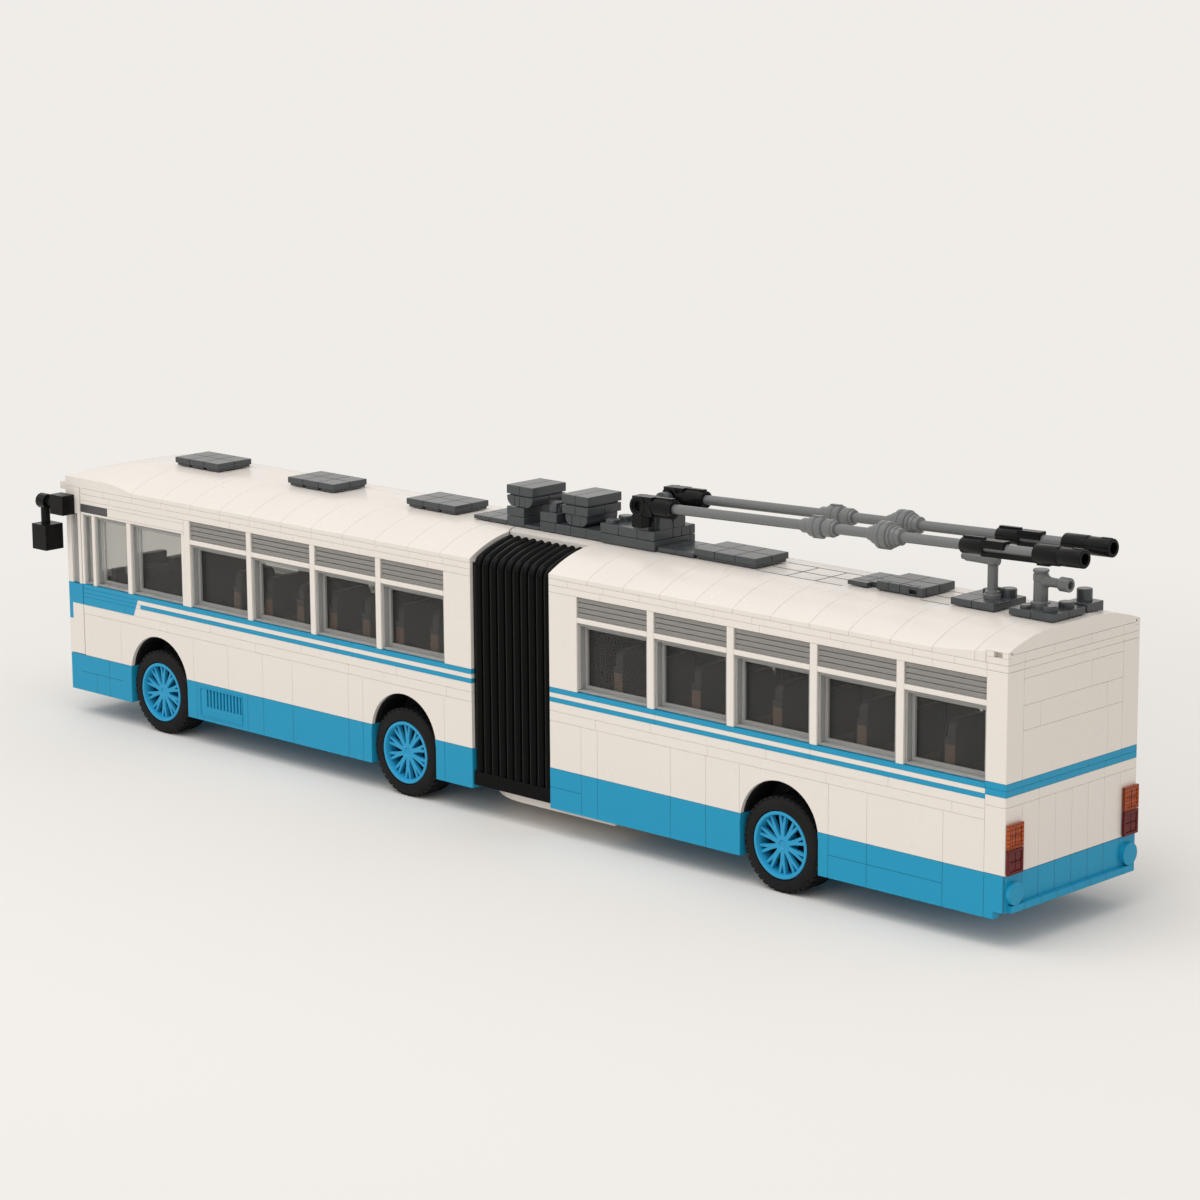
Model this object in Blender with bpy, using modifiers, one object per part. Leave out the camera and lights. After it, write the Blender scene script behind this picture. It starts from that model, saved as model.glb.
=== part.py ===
"""Articulated toy trolleybus built from bricks: two cars, bellows, roof equipment and two poles.

All sizes are in millimetres until MM turns them into metres. x runs forward from the tail wall,
y to the left, z up from the floor. The finished model stands with its bounding box centred on
the world's z axis.
"""
import math

import bmesh
import bpy
from mathutils import Matrix, Vector

MM = 0.001
GAP = 0.3
ROUND_STEPS = 24
SMALL_STEPS = 12

# The two cars along x, and what stands out past them
TAIL_X = 0.0
REAR_CAR_LENGTH = 184.0
GANGWAY_LENGTH = 36.0
FRONT_CAR_LENGTH = 212.0
REAR_CAR_FRONT_X = TAIL_X + REAR_CAR_LENGTH
FRONT_CAR_REAR_X = REAR_CAR_FRONT_X + GANGWAY_LENGTH
NOSE_X = FRONT_CAR_REAR_X + FRONT_CAR_LENGTH
TAIL_RETURN = 5.0
NOSE_RETURN = 8.0
POLE_OVERHANG = 9.6
MIRROR_REACH = 13.4
CENTRE_X = (TAIL_X - POLE_OVERHANG + NOSE_X + MIRROR_REACH) / 2

# Across the bus
HALF_WIDTH = 32.0
WALL = 3.0
INNER_Y = HALF_WIDTH - WALL

# Heights
SKIRT_Z = 9.0
TAIL_SKIRT_Z = 11.4
SKIRT_TOP_Z = 22.5
FLOOR_THICKNESS = 4.0
WINDOW_Z = 49.4
PANE_HEIGHT = 22.8
WINDOW_BAR = 1.7
LOUVRE_HEIGHT = 6.6
CAB_PANE_HEIGHT = 26.0
HEADER_HEIGHT = 4.5
PANE_TOP_Z = WINDOW_Z + PANE_HEIGHT
LOUVRE_Z = PANE_TOP_Z + WINDOW_BAR
LOUVRE_TOP_Z = LOUVRE_Z + LOUVRE_HEIGHT
CAB_TOP_Z = WINDOW_Z + CAB_PANE_HEIGHT
WALL_TOP_Z = LOUVRE_TOP_Z + HEADER_HEIGHT

# Roof section: a lip, then an arc that is level where it meets the flat middle
ROOF_FLAT_Y = 8.0
ROOF_LIP = 2.2
ROOF_RISE = 6.0
ROOF_LIP_Z = WALL_TOP_Z + ROOF_LIP
ROOF_TOP_Z = ROOF_LIP_Z + ROOF_RISE
ROOF_THICKNESS = 2.2
ROOF_ARC_STEPS = 8
NOSE_CAP_LIFT = 2.0
NOSE_CAP_LENGTH = 36.0
TAIL_CAP_LIFT = 1.6
TAIL_CAP_LENGTH = 26.0
CAP_END = 3.0

# Wheels
REAR_AXLE_X = TAIL_X + 86.3
MIDDLE_AXLE_X = FRONT_CAR_REAR_X + 33.2
FRONT_AXLE_X = NOSE_X - 50.5
AXLES = {"rear": REAR_AXLE_X, "middle": MIDDLE_AXLE_X, "front": FRONT_AXLE_X}
TYRE_RADIUS = 15.2
TYRE_WIDTH = 11.6
TYRE_INSET = 0.6
TYRE_OUTER_Y = HALF_WIDTH - TYRE_INSET
RIM_RADIUS = 10.75
RIM_WALL = 1.5
RIM_STEPS = 24
TYRE_STEPS = 28
AXLE_RADIUS = 2.4
AXLE_CLEARANCE = 0.4
SPOKES = 9
ARCH_RADIUS = TYRE_RADIUS + 0.6
ARCH_CENTRE_Z = TYRE_RADIUS + 4.6
WELL_CLEARANCE = 1.4
WELL_Y = TYRE_OUTER_Y - TYRE_WIDTH - WELL_CLEARANCE
CARRIER_THICKNESS = 4.0
CARRIER_Y = (WELL_Y - 3.4 - CARRIER_THICKNESS, WELL_Y - 3.4)
CARRIER_LENGTH = 12.0
CARRIER_Z = 10.5

# Windows, as (start, end) along x
WINDOW_WIDTH = 30.5
REAR_WINDOW_PITCH = 33.4
FRONT_WINDOW_PITCH = 33.0
CAB_WINDOW_X = NOSE_X - 65.1


def window_row(start, pitch, end):
    """As many windows of one width as fit before the end."""
    count = int((end - start - WINDOW_WIDTH) / pitch) + 1
    return [(start + pitch * i, start + pitch * i + WINDOW_WIDTH) for i in range(count)]


REAR_WINDOWS = window_row(TAIL_X + 7.5, REAR_WINDOW_PITCH, REAR_CAR_FRONT_X - 11.5)
FRONT_WINDOWS = window_row(FRONT_CAR_REAR_X + 12.7, FRONT_WINDOW_PITCH, CAB_WINDOW_X - 3.0)
CAB_WINDOWS = [(CAB_WINDOW_X, NOSE_X - 36.8), (NOSE_X - 34.5, NOSE_X - 16.2), (NOSE_X - 14.5, NOSE_X - 9.6)]

# Doors on the right side, as (start, end, leaves)
REAR_DOOR = (REAR_AXLE_X + 20.8, REAR_AXLE_X + 51.9, 2)
MIDDLE_DOOR = (MIDDLE_AXLE_X + 45.5, MIDDLE_AXLE_X + 76.0, 2)
CAB_DOOR = (NOSE_X - 32.7, NOSE_X - 9.6, 1)
DOOR_BOTTOM_Z = SKIRT_Z + 2.5
DOOR_TOP_Z = LOUVRE_TOP_Z - 0.1
DOOR_THICKNESS = 2.4
DOOR_SET_BACK = 0.3
DOOR_CLEARANCE = 0.5
DOOR_WEB = 0.8
DOOR_FRAME = 2.2

# Glazing
GLASS_SHEET = 1.0
GLASS_GAP = 0.3
PANE_FACE_Y = HALF_WIDTH - 1.0
LOUVRE_FACE_Y = HALF_WIDTH - 0.5
GLASS_RAIL_Z = (LOUVRE_TOP_Z + 0.4, LOUVRE_TOP_Z + 3.1)
GLASS_BOTTOM_Z = WINDOW_Z - 1.8

# Articulation
PIVOT_X = (REAR_CAR_FRONT_X + FRONT_CAR_REAR_X) / 2
GANGWAY_Y = 13.0
GANGWAY_RADIUS = math.hypot(GANGWAY_Y, GANGWAY_LENGTH / 2) + 0.1
GANGWAY_GAP = 0.5
PLATE_Z = (6.4, 8.6)
PLATE_Y = HALF_WIDTH - 5.0
PLATE_ROOT = 24.0
PIN_RADIUS = 3.2
ARM_Y = 12.0
ARM_Z = (9.4, 16.8)
ARM_ROOT = 20.0
TURNTABLE_RADIUS = 16.0
TURNTABLE_Z = (17.4, 20.4)
BELLOWS_Z = 10.4
BELLOWS_FACE_Y = HALF_WIDTH - 0.5
BELLOWS_RIBS = 10
BELLOWS_DEPTH = 1.5
BELLOWS_SKIN = 0.9
BELLOWS_SINK = 0.3

# Roof equipment in plate layers; a plate beds into the roof, so less of it shows
PLATE = 3.2
PLATE_SHOWN = 2.3
LOW_PLATE = 1.5
DECK_Y = 8.0
HATCH_LENGTH = 24.0
STUD_RADIUS = 2.4
STUD_HEIGHT = 1.7

# Poles, each with its own place along the bus
POLE_X = {"left": REAR_CAR_FRONT_X - 20.0, "right": REAR_CAR_FRONT_X - 16.5}
POLE_Z = ROOF_TOP_Z + 14.8
POLE_Y = 9.3
POLE_PITCH = math.radians(2.0)
POLE_REACH = (POLE_X["left"] - TAIL_X + POLE_OVERHANG) / math.cos(POLE_PITCH)
POLE_RADIUS = 1.6
COUPLING_START = {"left": POLE_REACH - 106.4, "right": POLE_REACH - 111.4}
FLANGE_START = {"left": POLE_REACH - 80.0, "right": POLE_REACH - 84.5}
HUB_RADIUS = 3.3
HUB_WIDTH = 5.2
HUB_Y = (POLE_Y - 2.4, POLE_Y - 2.4 + HUB_WIDTH)
HUB_PIN_RADIUS = 1.5

COLOURS = {
    "white": ((0.80, 0.76, 0.71), 0.32, 0.0),
    "blue": ((0.04, 0.31, 0.51), 0.32, 0.0),
    "black": ((0.015, 0.015, 0.016), 0.4, 0.0),
    "grey": ((0.10, 0.11, 0.125), 0.38, 0.0),
    "light grey": ((0.30, 0.31, 0.32), 0.38, 0.0),
    "rubber": ((0.02, 0.02, 0.02), 0.75, 0.0),
    "clear": ((0.75, 0.78, 0.78), 0.08, 0.0),
    "red": ((0.45, 0.02, 0.02), 0.25, 0.0),
}

for old in list(bpy.data.objects):
    bpy.data.objects.remove(old, do_unlink=True)


def collection(name):
    made = bpy.data.collections.new(name)
    bpy.context.scene.collection.children.link(made)
    return made


PARTS = collection("Trolleybus")
CUTTERS = collection("Cutters")


def material(name):
    colour, roughness, metallic = COLOURS[name]
    made = bpy.data.materials.new(name)
    made.use_nodes = True
    shader = made.node_tree.nodes["Principled BSDF"]
    shader.inputs["Base Color"].default_value = (*colour, 1.0)
    shader.inputs["Roughness"].default_value = roughness
    shader.inputs["Metallic"].default_value = metallic
    return made


MATERIALS = {name: material(name) for name in COLOURS}


def keep(name, mesh, colour=None):
    """Puts a mesh into the model, or among the cutters when it has no colour."""
    made = bpy.data.objects.new(name, mesh)
    if colour:
        PARTS.objects.link(made)
        mesh.materials.clear()
        mesh.materials.append(MATERIALS[colour])
    else:
        CUTTERS.objects.link(made)
        made.hide_render = True
        made.display_type = "WIRE"
    return made


def place(x, y, z):
    return Vector(((x - CENTRE_X) * MM, y * MM, z * MM))


def mesh_of(name, bm):
    bmesh.ops.recalc_face_normals(bm, faces=bm.faces)
    mesh = bpy.data.meshes.new(name)
    bm.to_mesh(mesh)
    bm.free()
    return mesh


def boxes(name, spans, colour=None):
    """Boxes given as (x0, x1, y0, y1, z0, z1), apart from each other, in one mesh."""
    bm = bmesh.new()
    for x0, x1, y0, y1, z0, z1 in spans:
        size = Vector((abs(x1 - x0), abs(y1 - y0), abs(z1 - z0))) * MM
        middle = place((x0 + x1) / 2, (y0 + y1) / 2, (z0 + z1) / 2)
        frame = Matrix.Translation(middle) @ Matrix.Diagonal((*size, 1.0))
        bmesh.ops.create_cube(bm, size=1.0, matrix=frame)
    return keep(name, mesh_of(name, bm), colour)


TURN = {
    "x": Matrix.Rotation(math.pi / 2, 4, "Y"),
    "y": Matrix.Rotation(-math.pi / 2, 4, "X"),
    "z": Matrix.Identity(4),
}


def rods(name, spans, colour=None, steps=ROUND_STEPS):
    """Cylinders given as (axis, centre, radius, length) in one mesh."""
    bm = bmesh.new()
    for axis, centre, radius, length in spans:
        frame = Matrix.Translation(place(*centre)) @ TURN[axis]
        bmesh.ops.create_cone(
            bm, cap_ends=True, segments=steps, matrix=frame,
            radius1=radius * MM, radius2=radius * MM, depth=length * MM,
        )
    made = keep(name, mesh_of(name, bm), colour)
    made.data.shade_smooth()
    made.data.set_sharp_from_angle(angle=math.radians(40))
    return made


def meshed(curve, name, colour=None):
    """Turns a curve object into a welded mesh object and removes the curve."""
    bpy.context.view_layer.update()
    seen = curve.evaluated_get(bpy.context.evaluated_depsgraph_get())
    mesh = bpy.data.meshes.new_from_object(seen)
    mesh.transform(curve.matrix_world)
    bpy.data.objects.remove(curve, do_unlink=True)
    bm = bmesh.new()
    bm.from_mesh(mesh)
    bmesh.ops.remove_doubles(bm, verts=bm.verts, dist=0.002 * MM)
    bmesh.ops.dissolve_limit(bm, angle_limit=math.radians(0.2), verts=bm.verts, edges=bm.edges)
    bmesh.ops.recalc_face_normals(bm, faces=bm.faces)
    bm.to_mesh(mesh)
    bm.free()
    return keep(name, mesh, colour)


def extrusion(name, axis, outline, low, high, colour=None, holes=()):
    """A flat outline drawn square to an axis and extruded along it from low to high.

    Outlines are (y, z) pairs for x, (x, z) pairs for y and (x, y) pairs for z.
    """
    curve = bpy.data.curves.new(name, "CURVE")
    curve.dimensions = "2D"
    curve.fill_mode = "BOTH"
    curve.extrude = (high - low) / 2 * MM
    for points in (outline, *holes):
        spline = curve.splines.new("POLY")
        spline.points.add(len(points) - 1)
        spline.use_cyclic_u = True
        for point, (a, b) in zip(spline.points, points):
            point.co = (a * MM, b * MM, 0, 1)
    made = bpy.data.objects.new(name, curve)
    bpy.context.scene.collection.objects.link(made)
    middle = (low + high) / 2 * MM
    start = -CENTRE_X * MM
    made.matrix_world = {
        "x": Matrix(((0, 0, 1, middle + start), (1, 0, 0, 0), (0, 1, 0, 0), (0, 0, 0, 1))),
        "y": Matrix(((1, 0, 0, start), (0, 0, -1, middle), (0, 1, 0, 0), (0, 0, 0, 1))),
        "z": Matrix(((1, 0, 0, start), (0, 1, 0, 0), (0, 0, 1, middle), (0, 0, 0, 1))),
    }[axis]
    return meshed(made, name, colour)


def lofted(name, sections, colour=None):
    """A skin over like outlines of (y, z) pairs, each at its own place along x, with flat ends."""
    bm = bmesh.new()
    rings = [[bm.verts.new(place(x, y, z)) for y, z in outline] for x, outline in sections]
    for near, far in zip(rings, rings[1:]):
        for i in range(len(near)):
            bm.faces.new((near[i - 1], near[i], far[i], far[i - 1]))
    bm.faces.new(rings[0])
    bm.faces.new(rings[-1])
    bmesh.ops.triangulate(bm, faces=bm.faces)
    return keep(name, mesh_of(name, bm), colour)


def apply(target, tool, operation="DIFFERENCE"):
    """Cuts, joins or intersects with a tool that stays among the cutters."""
    step = target.modifiers.new(f"{operation.lower()} {tool.name}", "BOOLEAN")
    step.object = tool
    step.operation = operation
    step.solver = "EXACT"
    return target


def join(target, *tools):
    for tool in tools:
        apply(target, tool, "UNION")
    return target


def sides(spans, side):
    """Boxes drawn for the left side, moved to the side asked for."""
    return [(x0, x1, side * y0, side * y1, z0, z1) for x0, x1, y0, y1, z0, z1 in spans]


# Wheel wells, cut out of every piece that a wheel turns in
def wheel_wells(axles):
    tools = []
    outside_y = HALF_WIDTH + 2
    for side in (-1, 1):
        middle_y = side * (WELL_Y + outside_y) / 2
        for axle in axles:
            x = AXLES[axle]
            arch = ("y", (x, middle_y, ARCH_CENTRE_Z), ARCH_RADIUS, outside_y - WELL_Y)
            low = sides([(x - ARCH_RADIUS, x + ARCH_RADIUS, WELL_Y, outside_y, -1, ARCH_CENTRE_Z)], side)
            tools.append(rods(f"well_top_{axle}_{side}", [arch]))
            tools.append(boxes(f"well_base_{axle}_{side}", low))
    return tools


WELLS = {"rear": wheel_wells(["rear"]), "front": wheel_wells(["middle", "front"])}
DOORS = {"rear": [REAR_DOOR], "front": [MIDDLE_DOOR, CAB_DOOR]}


def door_cutter(car):
    spans = [
        (x0, x1, -HALF_WIDTH - 2, -INNER_Y + 0.4, SKIRT_Z - 2, DOOR_TOP_Z)
        for x0, x1, _ in DOORS[car]
    ]
    return boxes(f"door_openings_{car}", spans)


DOOR_CUTTERS = {car: door_cutter(car) for car in DOORS}


def cut_car_openings(target, car, doors=True):
    for tool in WELLS[car]:
        apply(target, tool)
    if doors:
        apply(target, DOOR_CUTTERS[car])
    return target


# Chassis: floor, skirts and the carriers that hold the axles
def chassis(car, x0, x1, axles):
    name = f"chassis_{car}"
    body = boxes(name, [(x0, x1, -HALF_WIDTH, HALF_WIDTH, SKIRT_Z, SKIRT_TOP_Z)], "blue")
    floor_z = SKIRT_TOP_Z - FLOOR_THICKNESS
    inside = [(x0 + WALL, x1 - WALL, -INNER_Y, INNER_Y, SKIRT_Z - 1, floor_z)]
    apply(body, boxes(f"{name}_inside", inside))
    for axle in axles:
        x = AXLES[axle]
        half = CARRIER_LENGTH / 2
        for side in (-1, 1):
            foot = sides([(x - half, x + half, *CARRIER_Y, CARRIER_Z, floor_z + 1)], side)
            join(body, boxes(f"carrier_{axle}_{side}", foot))
    bore = AXLE_RADIUS + AXLE_CLEARANCE
    holes = [("y", (AXLES[axle], 0, TYRE_RADIUS), bore, 2 * WELL_Y) for axle in axles]
    apply(body, rods(f"{name}_bores", holes, steps=SMALL_STEPS * 2))
    return cut_car_openings(body, car)


def arc(centre_a, centre_b, radius, start, end, steps):
    """Points on an arc, with angles in degrees."""
    turns = [math.radians(start + (end - start) * i / steps) for i in range(steps + 1)]
    return [(centre_a + radius * math.cos(t), centre_b + radius * math.sin(t)) for t in turns]


chassis_rear = chassis("rear", TAIL_X, REAR_CAR_FRONT_X, ["rear"])
chassis_front = chassis("front", FRONT_CAR_REAR_X, NOSE_X, ["middle", "front"])

# Tail bumper: the skirt ends higher there, over a thin ledge and two round studs
BUMPER_STAND = 1.4
BUMPER_LEDGE = 2.1
BUMPER_STUD_RADIUS = 3.5
BUMPER_STUD_Z = 17.0
bumper_stud_y = HALF_WIDTH - BUMPER_STUD_RADIUS - 0.5
tail_cut = [(TAIL_X - 1, TAIL_X + WALL + 1, -HALF_WIDTH - 1, HALF_WIDTH + 1, SKIRT_Z - 1, TAIL_SKIRT_Z)]
apply(chassis_rear, boxes("tail_skirt_cut", tail_cut))
bumper_x = (TAIL_X - BUMPER_STAND, TAIL_X + 1)
ledge_y = HALF_WIDTH - 2
ledge = [(*bumper_x, -ledge_y, ledge_y, TAIL_SKIRT_Z, TAIL_SKIRT_Z + BUMPER_LEDGE)]
bumper_studs = [
    ("x", (sum(bumper_x) / 2, side * bumper_stud_y, BUMPER_STUD_Z), BUMPER_STUD_RADIUS, BUMPER_STAND + 1)
    for side in (-1, 1)
]
join(chassis_rear, boxes("bumper_ledge", ledge), rods("bumper_studs", bumper_studs))

# Radiator grille: upright slots in the front car's left skirt
GRILLE_X = (NOSE_X - 95.7, NOSE_X - 74.2)
GRILLE_Z = (SKIRT_Z + 2.0, SKIRT_TOP_Z - 1.8)
GRILLE_PITCH = 1.8
GRILLE_SLOT = 0.9
GRILLE_DEPTH = 1.2
slot_count = int((GRILLE_X[1] - GRILLE_X[0]) / GRILLE_PITCH)
slots = [
    (x, x + GRILLE_SLOT, HALF_WIDTH - GRILLE_DEPTH, HALF_WIDTH + 1, *GRILLE_Z)
    for x in (GRILLE_X[0] + GRILLE_PITCH * i for i in range(slot_count))
]
apply(chassis_front, boxes("grille_slots", slots))

# The front car's coupling arm reaches back under the bellows to the pivot
arm_outline = [(FRONT_CAR_REAR_X + ARM_ROOT, -ARM_Y), (FRONT_CAR_REAR_X + ARM_ROOT, ARM_Y)]
arm_outline += arc(PIVOT_X, 0, ARM_Y, 90, 270, 16)
arm = extrusion("coupling_arm", "z", arm_outline, *ARM_Z)
root_x = (FRONT_CAR_REAR_X + 1, FRONT_CAR_REAR_X + ARM_ROOT + 1)
arm_root = boxes("arm_root", [(*root_x, -ARM_Y - 1, ARM_Y + 1, ARM_Z[1] - 1, SKIRT_TOP_Z - 1)])
join(chassis_front, arm, arm_root)
pin_hole = ("z", (PIVOT_X, 0, sum(ARM_Z) / 2), PIN_RADIUS + AXLE_CLEARANCE, 3 * (ARM_Z[1] - ARM_Z[0]))
apply(chassis_front, rods("pin_hole", [pin_hole]))

# The rear car's coupling plate carries the pin and the turntable
plate_back_x = REAR_CAR_FRONT_X - PLATE_ROOT
plate_outline = [(plate_back_x, -PLATE_Y), (PIVOT_X, -PLATE_Y)]
plate_outline += arc(PIVOT_X, 0, PLATE_Y, -80, 80, 16)
plate_outline += [(PIVOT_X, PLATE_Y), (plate_back_x, PLATE_Y)]
coupling = extrusion("coupling", "z", plate_outline, *PLATE_Z, "white")
pin_middle_z = (PLATE_Z[0] + TURNTABLE_Z[1]) / 2
pin_length = TURNTABLE_Z[1] - PLATE_Z[0] - 1
turntable = ("z", (PIVOT_X, 0, sum(TURNTABLE_Z) / 2), TURNTABLE_RADIUS, TURNTABLE_Z[1] - TURNTABLE_Z[0])
root_z = (PLATE_Z[1] - 1, SKIRT_TOP_Z - FLOOR_THICKNESS - GAP)
join(
    coupling,
    rods("pin", [("z", (PIVOT_X, 0, pin_middle_z), PIN_RADIUS, pin_length)]),
    rods("turntable", [turntable]),
    boxes("coupling_root", [(plate_back_x + 2, REAR_CAR_FRONT_X - 2 * WALL, -ARM_Y, ARM_Y, *root_z)]),
)


# Side walls
def window_cutters(name, side, passenger, cab):
    through = (INNER_Y - 2, HALF_WIDTH + 2)
    spans = []
    for x0, x1 in passenger:
        spans.append((x0, x1, *through, WINDOW_Z, PANE_TOP_Z))
        spans.append((x0, x1, *through, LOUVRE_Z, LOUVRE_TOP_Z))
    for x0, x1 in cab:
        spans.append((x0, x1, *through, WINDOW_Z, CAB_TOP_Z))
    return boxes(name, sides(spans, side))


def side_wall(car, side, x0, x1, passenger, cab):
    name = f"wall_{car}_{'left' if side > 0 else 'right'}"
    panel = sides([(x0, x1, INNER_Y, HALF_WIDTH, SKIRT_TOP_Z + GAP, WALL_TOP_Z)], side)
    wall = boxes(name, panel, "white")
    cut_car_openings(wall, car, doors=side < 0)
    return apply(wall, window_cutters(f"{name}_windows", side, passenger, cab))


def glazing(car, side, passenger, cab):
    """One clear strip behind a wall, with a raised pane in each window."""
    name = f"glazing_{car}_{'left' if side > 0 else 'right'}"
    windows = passenger + cab
    low_x = min(x0 for x0, _ in windows) + 1.2
    high_x = max(x1 for _, x1 in windows) - 0.4
    sheet_y = (INNER_Y - GLASS_GAP - GLASS_SHEET, INNER_Y - GLASS_GAP)
    sheet = sides([(low_x, high_x, *sheet_y, GLASS_BOTTOM_Z, GLASS_RAIL_Z[1])], side)
    strip = boxes(name, sheet, "clear")
    if side < 0:
        notches = [
            (x0 - 1, x1 + 1, sheet_y[0] - 1, sheet_y[1] + 1, GLASS_BOTTOM_Z - 1, GLASS_RAIL_Z[0])
            for x0, x1, _ in DOORS[car]
        ]
        apply(strip, boxes(f"{name}_doorways", sides(notches, side)))
    panes = []
    rows = [(window, PANE_FACE_Y, WINDOW_Z, PANE_TOP_Z) for window in passenger]
    rows += [(window, LOUVRE_FACE_Y, LOUVRE_Z, LOUVRE_TOP_Z) for window in passenger]
    rows += [(window, PANE_FACE_Y, WINDOW_Z, CAB_TOP_Z) for window in cab]
    for (x0, x1), face_y, z0, z1 in rows:
        across = (sheet_y[0] + GLASS_SHEET / 2, face_y)
        panes.append((x0 + GLASS_GAP, x1 - GLASS_GAP, *across, z0 + GLASS_GAP, z1 - GLASS_GAP))
    return join(strip, boxes(f"{name}_panes", sides(panes, side)))


def clear_of_doors(windows, car):
    return [w for w in windows if all(w[1] < d[0] - 1 or w[0] > d[1] + 1 for d in DOORS[car])]


TAIL_WALL_END_X = TAIL_X + TAIL_RETURN
NOSE_WALL_START_X = NOSE_X - NOSE_RETURN
for side in (1, -1):
    rear_windows = REAR_WINDOWS if side > 0 else clear_of_doors(REAR_WINDOWS, "rear")
    front_windows = FRONT_WINDOWS if side > 0 else clear_of_doors(FRONT_WINDOWS, "front")
    cab_windows = CAB_WINDOWS if side > 0 else clear_of_doors(CAB_WINDOWS, "front")
    side_wall("rear", side, TAIL_WALL_END_X + GAP, REAR_CAR_FRONT_X, rear_windows, [])
    side_wall("front", side, FRONT_CAR_REAR_X, NOSE_WALL_START_X - GAP, front_windows, cab_windows)
    glazing("rear", side, rear_windows, [])
    glazing("front", side, front_windows, cab_windows)


# Tail: a windowless wall
wall_z = (SKIRT_TOP_Z + GAP, WALL_TOP_Z)
inside_z = (wall_z[0] - 1, wall_z[1] + 1)
tail = boxes("tail_wall", [(TAIL_X, TAIL_WALL_END_X, -HALF_WIDTH, HALF_WIDTH, *wall_z)], "white")
tail_inside = [(TAIL_X + WALL, TAIL_WALL_END_X + 1, -INNER_Y, INNER_Y, *inside_z)]
apply(tail, boxes("tail_inside", tail_inside))

# Nose: a flat wall with a wide windscreen that shows round both corners
SCREEN_Z = (WINDOW_Z - 4.4, CAB_TOP_Z + 0.6)
SCREEN_Y = HALF_WIDTH - 5.0
CORNER_GLASS_X = (NOSE_X - 6.4, NOSE_X - 2.6)
CORNER_GLASS_Z = (WINDOW_Z - 0.4, CAB_TOP_Z)
DISPLAY_Z = (WALL_TOP_Z - 6.6, WALL_TOP_Z - 1.4)
DISPLAY_DEPTH = 1.0
nose = boxes("nose", [(NOSE_WALL_START_X, NOSE_X, -HALF_WIDTH, HALF_WIDTH, *wall_z)], "white")
nose_inside = [(NOSE_WALL_START_X - 1, NOSE_X - WALL, -INNER_Y, INNER_Y, *inside_z)]
nose_openings = [
    (NOSE_X - WALL - 1, NOSE_X + 1, -SCREEN_Y, SCREEN_Y, *SCREEN_Z),
    (NOSE_X - DISPLAY_DEPTH, NOSE_X + 1, -SCREEN_Y, SCREEN_Y, *DISPLAY_Z),
]
corner_openings = []
for side in (-1, 1):
    corner_openings += sides([(*CORNER_GLASS_X, INNER_Y - 1, HALF_WIDTH + 1, *CORNER_GLASS_Z)], side)
apply(nose, boxes("nose_inside", nose_inside))
apply(nose, boxes("nose_openings", nose_openings))
apply(nose, boxes("nose_corners", corner_openings))

# Windscreen: one U-shaped clear sheet with raised panes
sheet_x = (NOSE_X - WALL - GLASS_GAP - GLASS_SHEET, NOSE_X - WALL - GLASS_GAP)
sheet_y = INNER_Y - GLASS_GAP
screen_z = (SCREEN_Z[0] - 1.5, SCREEN_Z[1] + 1.5)
screen_back_x = NOSE_WALL_START_X + 0.6
windscreen = boxes("windscreen", [(screen_back_x, sheet_x[1], -sheet_y, sheet_y, *screen_z)], "clear")
hollow_y = sheet_y - GLASS_SHEET
screen_inside = [(screen_back_x - 1, sheet_x[0], -hollow_y, hollow_y, screen_z[0] - 1, screen_z[1] + 1)]
apply(windscreen, boxes("screen_inside", screen_inside))
front_pane = (sheet_x[1] - GLASS_SHEET / 2, NOSE_X - 0.8, -SCREEN_Y + GLASS_GAP, SCREEN_Y - GLASS_GAP)
join(windscreen, boxes("screen_pane", [(*front_pane, SCREEN_Z[0] + GLASS_GAP, SCREEN_Z[1] - GLASS_GAP)]))
corner_panes = []
corner_pane_z = (CORNER_GLASS_Z[0] + GLASS_GAP, CORNER_GLASS_Z[1] - GLASS_GAP)
for side in (-1, 1):
    pane_x = (CORNER_GLASS_X[0] + GLASS_GAP, CORNER_GLASS_X[1] - GLASS_GAP)
    corner_panes += sides([(*pane_x, sheet_y - GLASS_SHEET / 2, PANE_FACE_Y, *corner_pane_z)], side)
join(windscreen, boxes("corner_panes", corner_panes))


# Roofs
def roof_radius(lip_z):
    run = HALF_WIDTH - ROOF_FLAT_Y
    rise = ROOF_TOP_Z - lip_z
    return (run * run + rise * rise) / (2 * rise)


def roof_height(y):
    """Height of the roof's upper face between its caps."""
    radius = roof_radius(ROOF_LIP_Z)
    past_flat = max(abs(y) - ROOF_FLAT_Y, 0)
    return ROOF_TOP_Z - radius + math.sqrt(radius * radius - past_flat * past_flat)


def roof_arc(inset, lip_z=ROOF_LIP_Z):
    """The left half of the roof section, from the lip up to the flat middle."""
    radius = roof_radius(lip_z)
    turn = math.degrees(math.asin((HALF_WIDTH - ROOF_FLAT_Y) / radius))
    return arc(ROOF_FLAT_Y, ROOF_TOP_Z - radius, radius - inset, 90 - turn, 90, ROOF_ARC_STEPS)


def roof_outline(inset, bottom, lip_z=ROOF_LIP_Z):
    left = [(min(y, HALF_WIDTH - inset), z) for y, z in roof_arc(inset, lip_z)]
    half = [(HALF_WIDTH - inset, bottom)] + left
    return half + [(-y, z) for y, z in reversed(half)]


ROOF_BOTTOM_Z = WALL_TOP_Z + GAP


def roof(name, stations, inside_x0, inside_x1):
    """A roof through stations of (x, lip height), hollow below."""
    shell = lofted(name, [(x, roof_outline(0, ROOF_BOTTOM_Z, lip_z)) for x, lip_z in stations], "white")
    hollow = roof_outline(ROOF_THICKNESS, ROOF_BOTTOM_Z - 1)
    return apply(shell, extrusion(f"{name}_inside", "x", hollow, inside_x0, inside_x1))


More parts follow.
